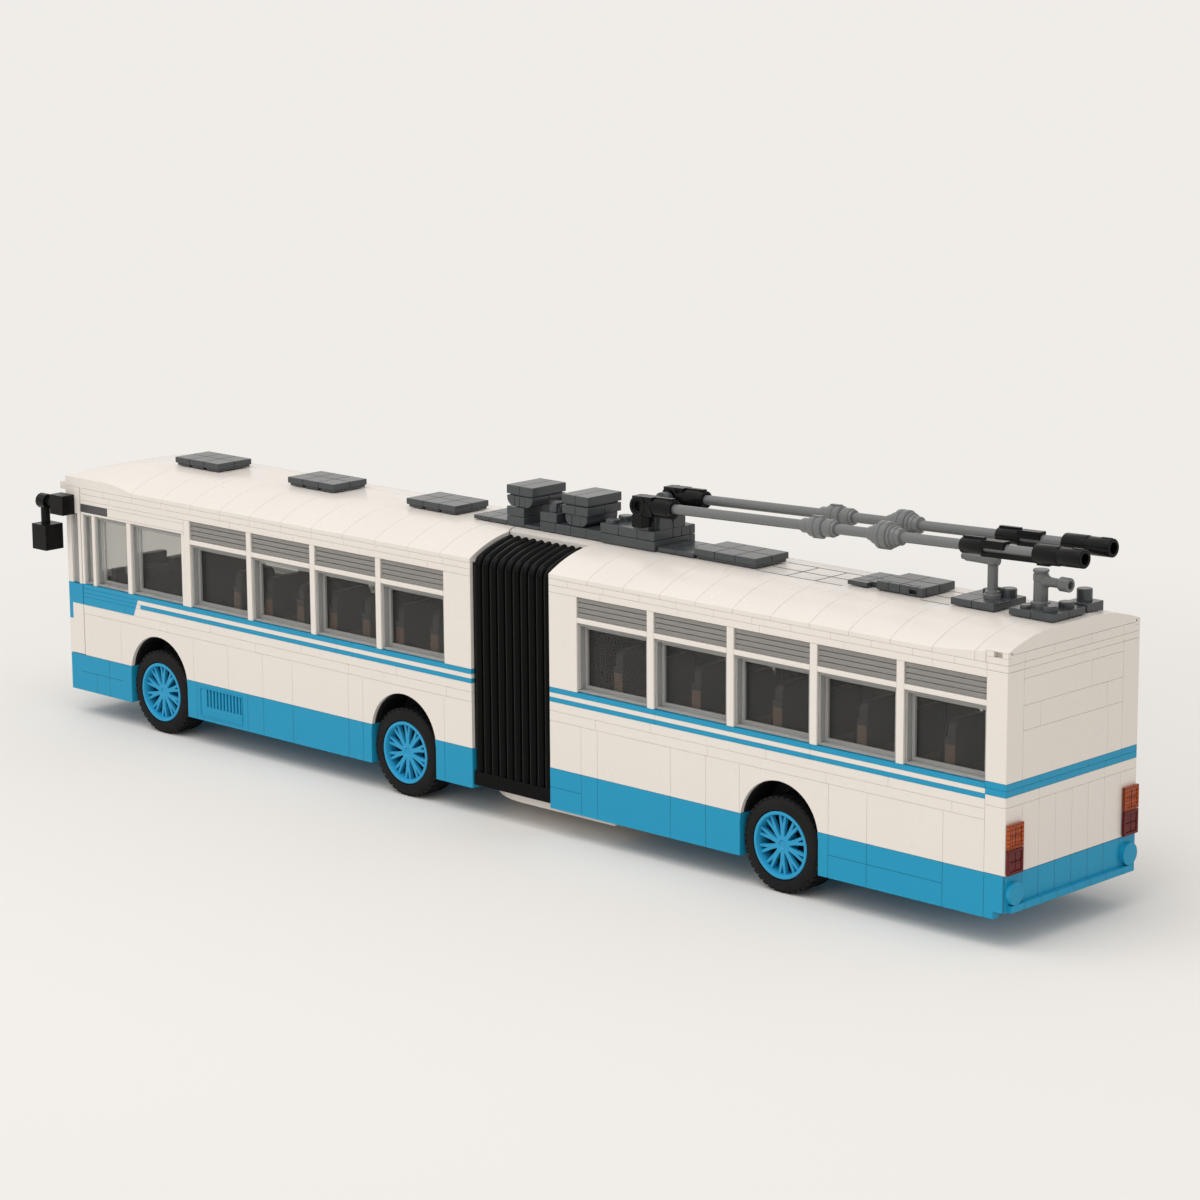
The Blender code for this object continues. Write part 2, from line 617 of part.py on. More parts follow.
tail_cap_z = ROOF_LIP_Z + TAIL_CAP_LIFT
nose_cap_z = ROOF_LIP_Z + NOSE_CAP_LIFT
rear_stations = [
    (TAIL_X, tail_cap_z), (TAIL_X + CAP_END, tail_cap_z),
    (TAIL_X + TAIL_CAP_LENGTH, ROOF_LIP_Z), (REAR_CAR_FRONT_X, ROOF_LIP_Z),
]
front_stations = [
    (FRONT_CAR_REAR_X, ROOF_LIP_Z), (NOSE_X - CAP_END - NOSE_CAP_LENGTH, ROOF_LIP_Z),
    (NOSE_X - CAP_END, nose_cap_z), (NOSE_X, nose_cap_z),
]
roof_rear = roof("roof_rear", rear_stations, TAIL_X + WALL, REAR_CAR_FRONT_X + 1)
roof_front = roof("roof_front", front_stations, FRONT_CAR_REAR_X - 1, NOSE_X - WALL)

# The rear roof's middle runs on over the gangway and ends in an arc about the pivot
strip_bottom_z = ROOF_TOP_Z - ROOF_THICKNESS
strip = [(y, z) for y, z in roof_outline(0, ROOF_BOTTOM_Z) if abs(y) < GANGWAY_Y]
strip_edge = [(GANGWAY_Y, strip_bottom_z), (GANGWAY_Y, roof_height(GANGWAY_Y))]
strip = strip_edge + strip + [(-y, z) for y, z in reversed(strip_edge)]
gangway = extrusion("gangway_section", "x", strip, REAR_CAR_FRONT_X - 1, PIVOT_X + GANGWAY_RADIUS + 2)
reach = math.degrees(math.asin(GANGWAY_Y / GANGWAY_RADIUS))
plan_start = (REAR_CAR_FRONT_X - 2, PIVOT_X + GANGWAY_RADIUS / 2)
plan = [(x, -GANGWAY_Y - 1) for x in plan_start]
plan += arc(PIVOT_X, 0, GANGWAY_RADIUS, -reach - 3, reach + 3, 20)
plan += [(x, GANGWAY_Y + 1) for x in reversed(plan_start)]
gangway_plan = extrusion("gangway_plan", "z", plan, ROOF_BOTTOM_Z, ROOF_TOP_Z + 2)
apply(gangway, gangway_plan, "INTERSECT")
join(roof_rear, gangway)
end_height = 2 * (ROOF_TOP_Z - ROOF_BOTTOM_Z) + 2
end_turn = ("z", (PIVOT_X, 0, ROOF_TOP_Z), GANGWAY_RADIUS + GANGWAY_GAP, end_height)
apply(roof_front, rods("roof_end", [end_turn], steps=ROUND_STEPS * 4))

# Visor plate over the windscreen, part of the front roof
VISOR_DEPTH = 3.6
VISOR_THICKNESS = 1.8
visor_y = HALF_WIDTH - 1
visor_z = (ROOF_BOTTOM_Z, ROOF_BOTTOM_Z + VISOR_THICKNESS)
visor = boxes("visor", [(NOSE_X - WALL, NOSE_X + VISOR_DEPTH, -visor_y, visor_y, *visor_z)])
join(roof_front, visor)

# Bellows: a corrugated strip swept over an arch that steps down under the gangway roof
bellows_middle_y = BELLOWS_FACE_Y - BELLOWS_DEPTH / 2
under_z = strip_bottom_z - GAP - BELLOWS_DEPTH / 2
riser_y = GANGWAY_Y + GAP + BELLOWS_DEPTH / 2
over_arc = [
    (y, z) for y, z in reversed(roof_arc(BELLOWS_SINK))
    if riser_y + BELLOWS_DEPTH < y < bellows_middle_y - BELLOWS_DEPTH
]
half_arch = [(0.0, under_z), (riser_y, under_z), (riser_y, roof_height(riser_y) - BELLOWS_SINK)]
half_arch += over_arc
half_arch += [(bellows_middle_y, ROOF_LIP_Z), (bellows_middle_y, BELLOWS_Z)]
arch_path = [(-y, z) for y, z in reversed(half_arch)] + half_arch[1:]


def bellows_profile():
    """The ribbed section as (in or out, along x), flat on the inside."""
    start = REAR_CAR_FRONT_X + GAP
    length = FRONT_CAR_REAR_X - GAP - start
    pitch = length / BELLOWS_RIBS
    swing = (BELLOWS_DEPTH - BELLOWS_SKIN) / 2
    waves = []
    for rib in range(BELLOWS_RIBS):
        for share, out in ((0.0, -1), (0.2, 1), (0.8, 1)):
            waves.append((start + pitch * (rib + share) - PIVOT_X, out * swing))
    waves.append((start + length - PIVOT_X, -swing))
    outer = [(out + BELLOWS_SKIN / 2, x) for x, out in waves]
    inner = [(-BELLOWS_DEPTH / 2, x) for x, _ in (waves[-1], waves[0])]
    return outer + inner


def swept(name, path, section, colour):
    """A section carried along a flat path that lies square to x."""
    section_curve = bpy.data.curves.new(f"{name}_section", "CURVE")
    section_curve.dimensions = "2D"
    spline = section_curve.splines.new("POLY")
    spline.points.add(len(section) - 1)
    spline.use_cyclic_u = True
    for point, (a, b) in zip(spline.points, section):
        point.co = (a * MM, b * MM, 0, 1)
    guide = bpy.data.objects.new(f"{name}_section", section_curve)
    CUTTERS.objects.link(guide)
    curve = bpy.data.curves.new(name, "CURVE")
    curve.dimensions = "2D"
    curve.bevel_mode = "OBJECT"
    curve.bevel_object = guide
    curve.use_fill_caps = True
    line = curve.splines.new("POLY")
    line.points.add(len(path) - 1)
    for point, (a, b) in zip(line.points, path):
        point.co = (a * MM, b * MM, 0, 1)
    made = bpy.data.objects.new(name, curve)
    bpy.context.scene.collection.objects.link(made)
    start = (PIVOT_X - CENTRE_X) * MM
    made.matrix_world = Matrix(((0, 0, 1, start), (1, 0, 0, 0), (0, 1, 0, 0), (0, 0, 0, 1)))
    finished = meshed(made, name, colour)
    bpy.data.objects.remove(guide, do_unlink=True)
    return finished


swept("bellows", arch_path, bellows_profile(), "black")


# Roof equipment
BASE_Z = ROOF_TOP_Z + GAP


def stud(name, x, y, z, radius=STUD_RADIUS, height=STUD_HEIGHT):
    """A stud whose foot is bedded a little into what it stands on."""
    bed = 0.4
    return rods(name, [("z", (x, y, z + (height - bed) / 2), radius, height + bed)], steps=SMALL_STEPS)


def plate(name, x0, x1, rise, colour=None, across=(-DECK_Y, DECK_Y)):
    return boxes(name, [(x0, x1, *across, BASE_Z, BASE_Z + rise)], colour)


# Middle unit over the gangway: two capped stacks and a dome on one base
STACK_RISE = 13.6
STACK_TOP_Z = BASE_Z + STACK_RISE
DOME_RADIUS = 3.0


def capped_stack(x0, x1, foot_z):
    """A cap wider than its neck, with slopes under both ends, as (x, z) from its foot up and over."""
    neck = 2.6
    left = [(x0 + neck, foot_z), (x0, foot_z + PLATE / 2), (x0, STACK_TOP_Z)]
    right = [(x1, STACK_TOP_Z), (x1, foot_z + PLATE / 2), (x1 - neck, foot_z)]
    return left + right


deck_x = REAR_CAR_FRONT_X - 0.5
front_stack = capped_stack(PIVOT_X + 12.7, PIVOT_X + 24.9, BASE_Z + 2 * PLATE)
rear_stack = capped_stack(PIVOT_X - 12.7, PIVOT_X - 0.6, BASE_Z + PLATE)
deck_outline = [(deck_x, BASE_Z), (deck_x, BASE_Z + PLATE)] + rear_stack
deck_outline += [(PIVOT_X + 1.7, BASE_Z + PLATE), (PIVOT_X + 1.7, BASE_Z + 2 * PLATE)]
deck_outline += [(PIVOT_X + 9.5, BASE_Z + 2 * PLATE), (PIVOT_X + 9.5, BASE_Z + 1.0)]
deck_outline += [(PIVOT_X + 16.7, BASE_Z + 1.0), (PIVOT_X + 16.7, BASE_Z + 2 * PLATE)] + front_stack[1:]
deck_outline += [(PIVOT_X + x, BASE_Z + z) for x, z in ((24.9, LOW_PLATE), (43.0, LOW_PLATE), (43.0, 0.0))]
deck = extrusion("roof_deck", "y", deck_outline, -DECK_Y, DECK_Y, "grey")
dome_at = (PIVOT_X + 5.6, DECK_Y - DOME_RADIUS - 1.5, BASE_Z + 2 * PLATE + DOME_RADIUS / 2)
join(deck, rods("dome", [("z", dome_at, DOME_RADIUS, DOME_RADIUS + 0.6)], steps=SMALL_STEPS))

# Plinth of the poles: two plates, an ear on the inner side of each hub and a clip outside it
PLINTH_X = (REAR_CAR_FRONT_X - 24.9, REAR_CAR_FRONT_X - 0.9)
PLINTH_Y = (-10.5, 9.0)
PLINTH_TOP_Z = BASE_Z + 2 * PLATE
EAR_Y = (HUB_Y[0] - 3.7, HUB_Y[0] - 0.5)
EAR_HALF = 3.0
CLIP_HALF = 2.6
CUSHION_RADIUS = 4.0
plinth = boxes("pole_base", [(*PLINTH_X, *PLINTH_Y, BASE_Z, PLINTH_TOP_Z)], "grey")
clip_top_z = POLE_Z - HUB_RADIUS - 0.5
for side, word in ((1, "left"), (-1, "right")):
    x = POLE_X[word]
    ear = sides([(x - EAR_HALF, x + EAR_HALF, *EAR_Y, PLINTH_TOP_Z - 1, POLE_Z + 2.0)], side)
    clip_y = (HUB_Y[0] + 0.3, HUB_Y[1] - 0.3)
    clip = sides([(x - CLIP_HALF, x + CLIP_HALF, *clip_y, PLINTH_TOP_Z - 1, clip_top_z)], side)
    pin_y = (EAR_Y[0] + 1, HUB_Y[1])
    pin = ("y", (x, side * sum(pin_y) / 2, POLE_Z), HUB_PIN_RADIUS, pin_y[1] - pin_y[0])
    pin_piece = rods(f"pole_pin_{word}", [pin], steps=SMALL_STEPS)
    join(plinth, boxes(f"ear_{word}", ear), boxes(f"clip_{word}", clip), pin_piece)
join(plinth, stud("plinth_stud", PLINTH_X[1] - 3.1, 0.0, PLINTH_TOP_Z))
join(plinth, stud("plinth_cushion", PLINTH_X[0] + 4.4, 0.0, PLINTH_TOP_Z, CUSHION_RADIUS, PLATE - 1))

# Tiles along the roof's middle; two of them have lower plates beside them
plate("hatch_front", NOSE_X - 58.0, NOSE_X - 58.0 + HATCH_LENGTH, PLATE_SHOWN, "grey")
plate("hatch_middle", NOSE_X - 119.6, NOSE_X - 119.6 + HATCH_LENGTH, PLATE_SHOWN, "grey")
hatch_back_x = FRONT_CAR_REAR_X + 31.5
plate("hatch_back", hatch_back_x, hatch_back_x + HATCH_LENGTH, PLATE_SHOWN, "grey")
hatch_x = (PLINTH_X[0] - 42.0, PLINTH_X[0] - 16.0)
pole_hatch = plate("hatch_pole_side", *hatch_x, PLATE, "grey")
join(
    pole_hatch,
    plate("hatch_lead", hatch_x[1] - 1, PLINTH_X[0] - GAP, LOW_PLATE),
    plate("hatch_flat", hatch_x[0] - 13.0, hatch_x[0] + 1, 0.5),
)
front_rest_x = (TAIL_X + 24.0, TAIL_X + 40.2)
tail_hatch_y = (-9.5, 6.2)
tail_hatch_length = 18.0
tail_step_length = 11.5
room_left = hatch_x[0] - 13.0 - front_rest_x[1] - tail_hatch_length - tail_step_length
tail_hatch_start = front_rest_x[1] + room_left * 0.343
tail_hatch_x = (tail_hatch_start, tail_hatch_start + tail_hatch_length)
tail_step_x = (tail_hatch_x[1] - 1, tail_hatch_x[1] + tail_step_length)
tail_hatch = plate("hatch_tail_side", *tail_hatch_x, PLATE_SHOWN + 0.5, "grey", tail_hatch_y)
tail_step = plate("tail_hatch_step", *tail_step_x, LOW_PLATE, None, tail_hatch_y)
join(tail_hatch, tail_step)

# Pole rests: a base plate, a post, and a bar or a spigot along the bus
POST_RADIUS = 1.6
REST_TOP_Z = BASE_Z + PLATE_SHOWN


def post(name, x, radius, top_z):
    foot_z = REST_TOP_Z - 0.8
    return rods(name, [("z", (x, 0, (foot_z + top_z) / 2), radius, top_z - foot_z)], steps=SMALL_STEPS)


front_post_x = TAIL_X + 30.6
front_post_z = BASE_Z + 14.3
rest_bar = ("x", (front_post_x + 4.6, 0, front_post_z - 0.9), 1.3, 13.4)
rest_front = plate("rest_front", *front_rest_x, PLATE_SHOWN, "light grey")
join(
    rest_front,
    post("rest_front_post", front_post_x, POST_RADIUS, front_post_z),
    stud("rest_front_foot", front_post_x, 0, REST_TOP_Z, POST_RADIUS + 1.0, 1.9),
    rods("rest_front_bar", [rest_bar], steps=SMALL_STEPS),
    stud("rest_front_stud", TAIL_X + 27.5, -DECK_Y / 2, REST_TOP_Z, STUD_RADIUS, STUD_HEIGHT + 1.0),
)
rear_post_x = TAIL_X + 12.9
rear_post_z = BASE_Z + 13.2
spigot_z = BASE_Z + 10.5
collar_x = (TAIL_X + 2.1, TAIL_X + 5.3)
spigot_x = (collar_x[0] + 1.0, rear_post_x + 1.0)
rest_rear_x = (TAIL_X + 2.4, TAIL_X + 18.6)
spigot = ("x", (sum(spigot_x) / 2, 0, spigot_z), 1.4, spigot_x[1] - spigot_x[0])
collar = ("x", (sum(collar_x) / 2, 0, spigot_z), 2.1, collar_x[1] - collar_x[0])
outer_x = (TAIL_X + 3.6, TAIL_X + 11.6)
outer_y = (-18.4, -10.3)
outer_outline = [
    (outer_y[1], roof_height(outer_y[1]) + GAP), (outer_y[1], REST_TOP_Z),
    (outer_y[0], REST_TOP_Z), (outer_y[0], roof_height(outer_y[0]) + GAP),
]
rest_rear = plate("rest_rear", *rest_rear_x, PLATE_SHOWN, "light grey")
join(
    rest_rear,
    post("rest_rear_post", rear_post_x, POST_RADIUS + 0.6, rear_post_z),
    rods("rest_rear_spigot", [spigot], steps=SMALL_STEPS),
    rods("rest_rear_collar", [collar], steps=SMALL_STEPS),
    stud("rest_rear_stud_near", TAIL_X + 6.5, DECK_Y / 2, REST_TOP_Z),
    stud("rest_rear_stud_far", TAIL_X + 6.5, -DECK_Y / 2, REST_TOP_Z),
    plate("rest_bridge", outer_x[0] + 1, outer_x[0] + 5, LOW_PLATE, None, (outer_y[1] - 1, -DECK_Y + 1)),
    extrusion("rest_outer", "x", outer_outline, *outer_x),
    stud("rest_outer_stud", sum(outer_x) / 2, sum(outer_y) / 2, REST_TOP_Z, STUD_RADIUS, STUD_HEIGHT + 2.2),
)


# Saloons: floor liner, wheel boxes and rows of seats
SEAT_PITCH = 16.7
SEAT_Y = (11.0, INNER_Y - 2.2)
SEAT_STEP = 4.0
CUSHION_Z = SKIRT_TOP_Z + 15.9
BACK_Z = SKIRT_TOP_Z + 32.5
LINER_Z = (SKIRT_TOP_Z + GAP, SKIRT_TOP_Z + 1.8)
WHEEL_BOX_WALL = 1.4


def seat_row(name, x0, count, side):
    """Seats that face forward, drawn as one stepped outline."""
    foot_z = LINER_Z[0] + 0.5
    step_z = LINER_Z[1] + SEAT_STEP
    outline = [(x0, foot_z)]
    for i in range(count):
        back = x0 + SEAT_PITCH * i
        outline += [
            (back, BACK_Z), (back + 2.4, BACK_Z), (back + 3.2, CUSHION_Z),
            (back + 10.5, CUSHION_Z), (back + 10.5, step_z), (back + SEAT_PITCH, step_z),
        ]
    outline.append((x0 + SEAT_PITCH * count, foot_z))
    low, high = sorted(side * y for y in SEAT_Y)
    return extrusion(name, "y", outline, low, high)


def saloon(car, x0, x1, axles, rows, fittings=()):
    """The fittings of one car; rows of seats are (side, start, end) along x."""
    name = f"saloon_{car}"
    inside_y = INNER_Y - GAP
    room = boxes(name, [(x0, x1, -inside_y, inside_y, *LINER_Z)], "grey")
    for side, row_x, row_end in rows:
        count = int((row_end - row_x) / SEAT_PITCH)
        if count > 0:
            join(room, seat_row(f"{name}_seats_{side}_{row_x:.0f}", row_x, count, side))
    box_y = (WELL_Y - WHEEL_BOX_WALL, inside_y)
    for axle in axles:
        for side in (-1, 1):
            middle = (AXLES[axle], side * sum(box_y) / 2, ARCH_CENTRE_Z)
            housing = ("y", middle, ARCH_RADIUS + WHEEL_BOX_WALL, box_y[1] - box_y[0])
            join(room, rods(f"wheel_box_{axle}_{side}", [housing]))
    join(room, *fittings)
    trim = [(x0 - 1, x1 + 1, -HALF_WIDTH, HALF_WIDTH, -2, LINER_Z[0])]
    apply(room, boxes(f"{name}_underside", trim))
    return cut_car_openings(room, car)


def cab_fittings():
    """Driver's place: partition, seat, dashboard and steering wheel."""
    floor_z = LINER_Z[1]
    foot_z = floor_z - 0.5
    driver_y = sum(SEAT_Y) / 2 - 4.0
    seat_half = 7.0
    wheel_x = NOSE_X - 16.0
    dash_z = floor_z + 19.7
    dash_end_x = NOSE_X - WALL - 3.0
    blocks = [
        (NOSE_X - 40.0, NOSE_X - 38.4, 2.0, SEAT_Y[1], foot_z, floor_z + 30.0),
        (NOSE_X - 33.0, NOSE_X - 21.0, driver_y - seat_half, driver_y + seat_half, foot_z, floor_z + 15.7),
        (NOSE_X - 14.0, dash_end_x, -6.0, SEAT_Y[1], foot_z, dash_z),
    ]
    back_y = (driver_y - seat_half + 1, driver_y + seat_half - 1)
    back = (NOSE_X - 35.5, NOSE_X - 32.0, *back_y, foot_z, floor_z + 33.7)
    stem_foot = (wheel_x - 1.2, NOSE_X - 13.0, driver_y - 1.2, driver_y + 1.2, dash_z - 4.0, dash_z - 1.5)
    return [
        boxes("cab_blocks", blocks),
        boxes("driver_back", [back]),
        boxes("stem_foot", [stem_foot]),
        rods("steering_stem", [("z", (wheel_x, driver_y, dash_z + 1.0), 1.2, 8.0)], steps=SMALL_STEPS),
        rods("steering_wheel", [("z", (wheel_x, driver_y, dash_z + 4.6), 5.6, 1.2)], steps=SMALL_STEPS),
    ]


rear_end = REAR_CAR_FRONT_X - 2.0
front_end = NOSE_X - 64.0
rear_start = TAIL_X + 6.0
front_start = FRONT_CAR_REAR_X + 4.0
rear_rows = [(1, rear_start, rear_end), (-1, rear_start, REAR_DOOR[0] - 0.5), (-1, REAR_DOOR[1] + 3.8, rear_end)]
front_rows = [(1, front_start, front_end), (-1, front_start, MIDDLE_DOOR[0] - 0.5)]
front_rows.append((-1, MIDDLE_DOOR[1] + 4.8, front_end))
liner_end = NOSE_X - WALL - GLASS_GAP - GLASS_SHEET - GAP
saloon("rear", TAIL_X + WALL + GAP, REAR_CAR_FRONT_X, ["rear"], rear_rows)
saloon("front", FRONT_CAR_REAR_X, liner_end, ["middle", "front"], front_rows, cab_fittings())

# Lamps
LAMP_Y = (HALF_WIDTH - 7.4, HALF_WIDTH - 0.1)
LAMP_Z = (SKIRT_TOP_Z + 0.4, SKIRT_TOP_Z + 15.6)
LAMP_STAND = 1.0
HEADLAMP_Z = SKIRT_TOP_Z + 7.5
HEADLAMP_Y = HALF_WIDTH - 7.0
HEADLAMP_RADIUS = 4.0
HEADLAMP_DEPTH = 2.0
for side, word in ((1, "left"), (-1, "right")):
    body = sides([(TAIL_X - LAMP_STAND - GAP, TAIL_X - GAP, *LAMP_Y, *LAMP_Z)], side)
    boxes(f"tail_lamp_{word}", body, "red")
    face_x = NOSE_X + GAP + HEADLAMP_DEPTH / 2
    ring = ("x", (face_x, side * HEADLAMP_Y, HEADLAMP_Z), HEADLAMP_RADIUS, HEADLAMP_DEPTH)
    lens = ("x", (face_x + 0.7, side * HEADLAMP_Y, HEADLAMP_Z), HEADLAMP_RADIUS - 0.8, HEADLAMP_DEPTH)
    join(rods(f"headlamp_{word}", [ring], "white"), rods(f"headlamp_lens_{word}", [lens]))

# Mirrors: a block on the corner, a bar forward, a hub, and the mirror box hung below it
BRICK = 8.0
MIRROR_Y = HALF_WIDTH + GAP
MIRROR_WIDTH = 5.4
MIRROR_Z = CAB_TOP_Z + 3.2
MIRROR_CASE_Z = (CAB_TOP_Z - 14.4, CAB_TOP_Z - 5.0)
MIRROR_BLOCK_X = (NOSE_X - 5.2, NOSE_X + 2.2)
MIRROR_BLOCK_Z = (CAB_TOP_Z - 0.4, CAB_TOP_Z + 6.8)
HUB_LENGTH = 4.4
case_x = (NOSE_X + MIRROR_REACH - STUD_HEIGHT - BRICK, NOSE_X + MIRROR_REACH - STUD_HEIGHT)
hub_x = sum(case_x) / 2 + 0.8
for side, word in ((1, "left"), (-1, "right")):
    y = side * (MIRROR_Y + MIRROR_WIDTH / 2)
    block = sides([(*MIRROR_BLOCK_X, MIRROR_Y, MIRROR_Y + MIRROR_WIDTH, *MIRROR_BLOCK_Z)], side)
    bar_x = (MIRROR_BLOCK_X[1] - 1, hub_x)
    neck_z = (MIRROR_CASE_Z[1] - 1, MIRROR_Z)
    stud_at = (case_x[1] + STUD_HEIGHT / 2 - 0.2, y, sum(MIRROR_CASE_Z) / 2)
    bar = ("x", (sum(bar_x) / 2, y, MIRROR_Z), 1.6, bar_x[1] - bar_x[0])
    neck = ("z", (hub_x, y, sum(neck_z) / 2), 1.7, neck_z[1] - neck_z[0])
    join(
        boxes(f"mirror_{word}", block, "black"),
        rods(f"mirror_bar_{word}", [bar], steps=SMALL_STEPS),
        rods(f"mirror_hub_{word}", [("x", (hub_x, y, MIRROR_Z), 2.8, HUB_LENGTH)], steps=SMALL_STEPS),
        rods(f"mirror_neck_{word}", [neck], steps=SMALL_STEPS),
        boxes(f"mirror_case_{word}", [(*case_x, y - BRICK / 2, y + BRICK / 2, *MIRROR_CASE_Z)]),
        rods(f"mirror_stud_{word}", [("x", stud_at, STUD_RADIUS, STUD_HEIGHT + 0.4)], steps=SMALL_STEPS),
    )


# Wheels: a turned rim with a pierced spoke disc, on an axle shared by both sides
def turned(name, profile, steps, colour=None):
    """A profile of (radius, y) pairs, closed, turned about the y axis through the origin."""
    bm = bmesh.new()
    corners = [bm.verts.new((radius * MM, 0, y * MM)) for radius, y in profile]
    for a, b in zip(corners, corners[1:] + corners[:1]):
        bm.edges.new((a, b))
    mesh = bpy.data.meshes.new(name)
    bm.to_mesh(mesh)
    bm.free()
    made = keep(name, mesh, colour)
    screw = made.modifiers.new("turn", "SCREW")
    screw.axis = "Z"
    screw.angle = 2 * math.pi
    screw.steps = steps
    screw.render_steps = steps
    screw.use_merge_vertices = True
    screw.merge_threshold = 0.0001 * MM
    return made


def spoke_holes():
    """The gaps between the forked spokes, as outlines about the wheel's centre."""
    turn = 2 * math.pi / SPOKES
    inner = AXLE_RADIUS + 1.2
    outer = RIM_RADIUS - RIM_WALL - 0.4
    fork = (inner + outer) / 2 - 0.2
    between = [(inner, 0.5), (fork, 0.18), (outer, 0.32), (outer, 0.68), (fork, 0.82)]
    forked = [(fork + 1.2, 0.0), (outer, -0.14), (outer, 0.14)]
    holes = []
    for i in range(SPOKES):
        for shape in (between, forked):
            angles = [(radius, turn * (i + share)) for radius, share in shape]
            holes.append([(radius * math.cos(angle), radius * math.sin(angle)) for radius, angle in angles])
    return holes


def on_axle(piece, x, side):
    """Puts a turned piece on an axle, the other way round on the right side."""
    piece.matrix_world = Matrix.Translation(place(x, 0, TYRE_RADIUS)) @ TURN["y"]
    if side < 0:
        piece.matrix_world = piece.matrix_world @ Matrix.Rotation(math.pi, 4, "X")
    return piece


DISC_FACE = 1.2
DISC_THICKNESS = 1.8
TYRE_SHOULDER = (1.2, 1.4)


def wheelset(axle):
    x = AXLES[axle]
    name = f"rims_{axle}"
    outer = TYRE_OUTER_Y
    back = outer - TYRE_WIDTH
    rims = rods(name, [("y", (x, 0, TYRE_RADIUS), AXLE_RADIUS, 2 * (outer - 0.5))], "blue", steps=SMALL_STEPS)
    inner = RIM_RADIUS - RIM_WALL
    ring_profile = [(inner, outer), (RIM_RADIUS, outer), (RIM_RADIUS, back + 0.6), (inner, back + 0.6)]
    disc_outline = arc(x, TYRE_RADIUS, RIM_RADIUS - RIM_WALL / 2, 0, 360 - 360 / RIM_STEPS, RIM_STEPS - 1)
    holes = [[(x + a, TYRE_RADIUS + b) for a, b in hole] for hole in spoke_holes()]
    bore = RIM_RADIUS + GAP
    narrow, drop = TYRE_RADIUS - TYRE_SHOULDER[0], TYRE_SHOULDER[1]
    tyre_profile = [
        (bore, outer), (narrow, outer), (TYRE_RADIUS, outer - drop),
        (TYRE_RADIUS, back + drop), (narrow, back), (bore, back),
    ]
    for side, word in ((1, "left"), (-1, "right")):
        ring = on_axle(turned(f"{name}_ring_{word}", ring_profile, RIM_STEPS), x, side)
        disc_y = sorted((side * (outer - DISC_FACE - DISC_THICKNESS), side * (outer - DISC_FACE)))
        disc = extrusion(f"{name}_disc_{word}", "y", disc_outline, *disc_y, holes=holes)
        join(rims, ring, disc)
        on_axle(turned(f"tyre_{axle}_{word}", tyre_profile, TYRE_STEPS, "rubber"), x, side)


for axle in AXLES:
    wheelset(axle)


# Poles: black hub and sleeve, grey bar with two couplings, and a black head with its clip
SLEEVE_END = 14.3
SLEEVE_RADIUS = 2.7
BAR_START = 8.0
COUPLING = (3.5, 5.6, 4.7)
COUPLING_RADII = (2.3, 3.2, 2.7)
FLANGE = (3.0, 8.6, 1.7)
FLANGE_RADII = (2.2, 4.3, 2.9)
HEAD_LENGTHS = (8.7, 10.2)
HEAD_RADII = (3.0, 2.8)
CLIP_START = POLE_REACH - 44.2
CLIP_LENGTHS = (8.6, 9.0)
CLIP_RADIUS = 2.5
STRIP_HALF = 1.4
TIP_BORE = (1.5, 4.0)


def along(name, start, lengths, radii, colour=None, steps=SMALL_STEPS):
    """Cylinders one after another along a pole, drawn from the hub towards the head."""
    spans = []
    for length, radius in zip(lengths, radii):
        spans.append(("x", (-start - length / 2, 0, 0), radius, length))
        start += length
    made = rods(name, [spans[0]], colour, steps)
    for i, span in enumerate(spans[1:], 1):
        centre = (span[1][0] + 0.1, 0, 0)
        join(made, rods(f"{name}_{i}", [("x", centre, span[2], span[3] + 0.2)], steps=steps))
    return made


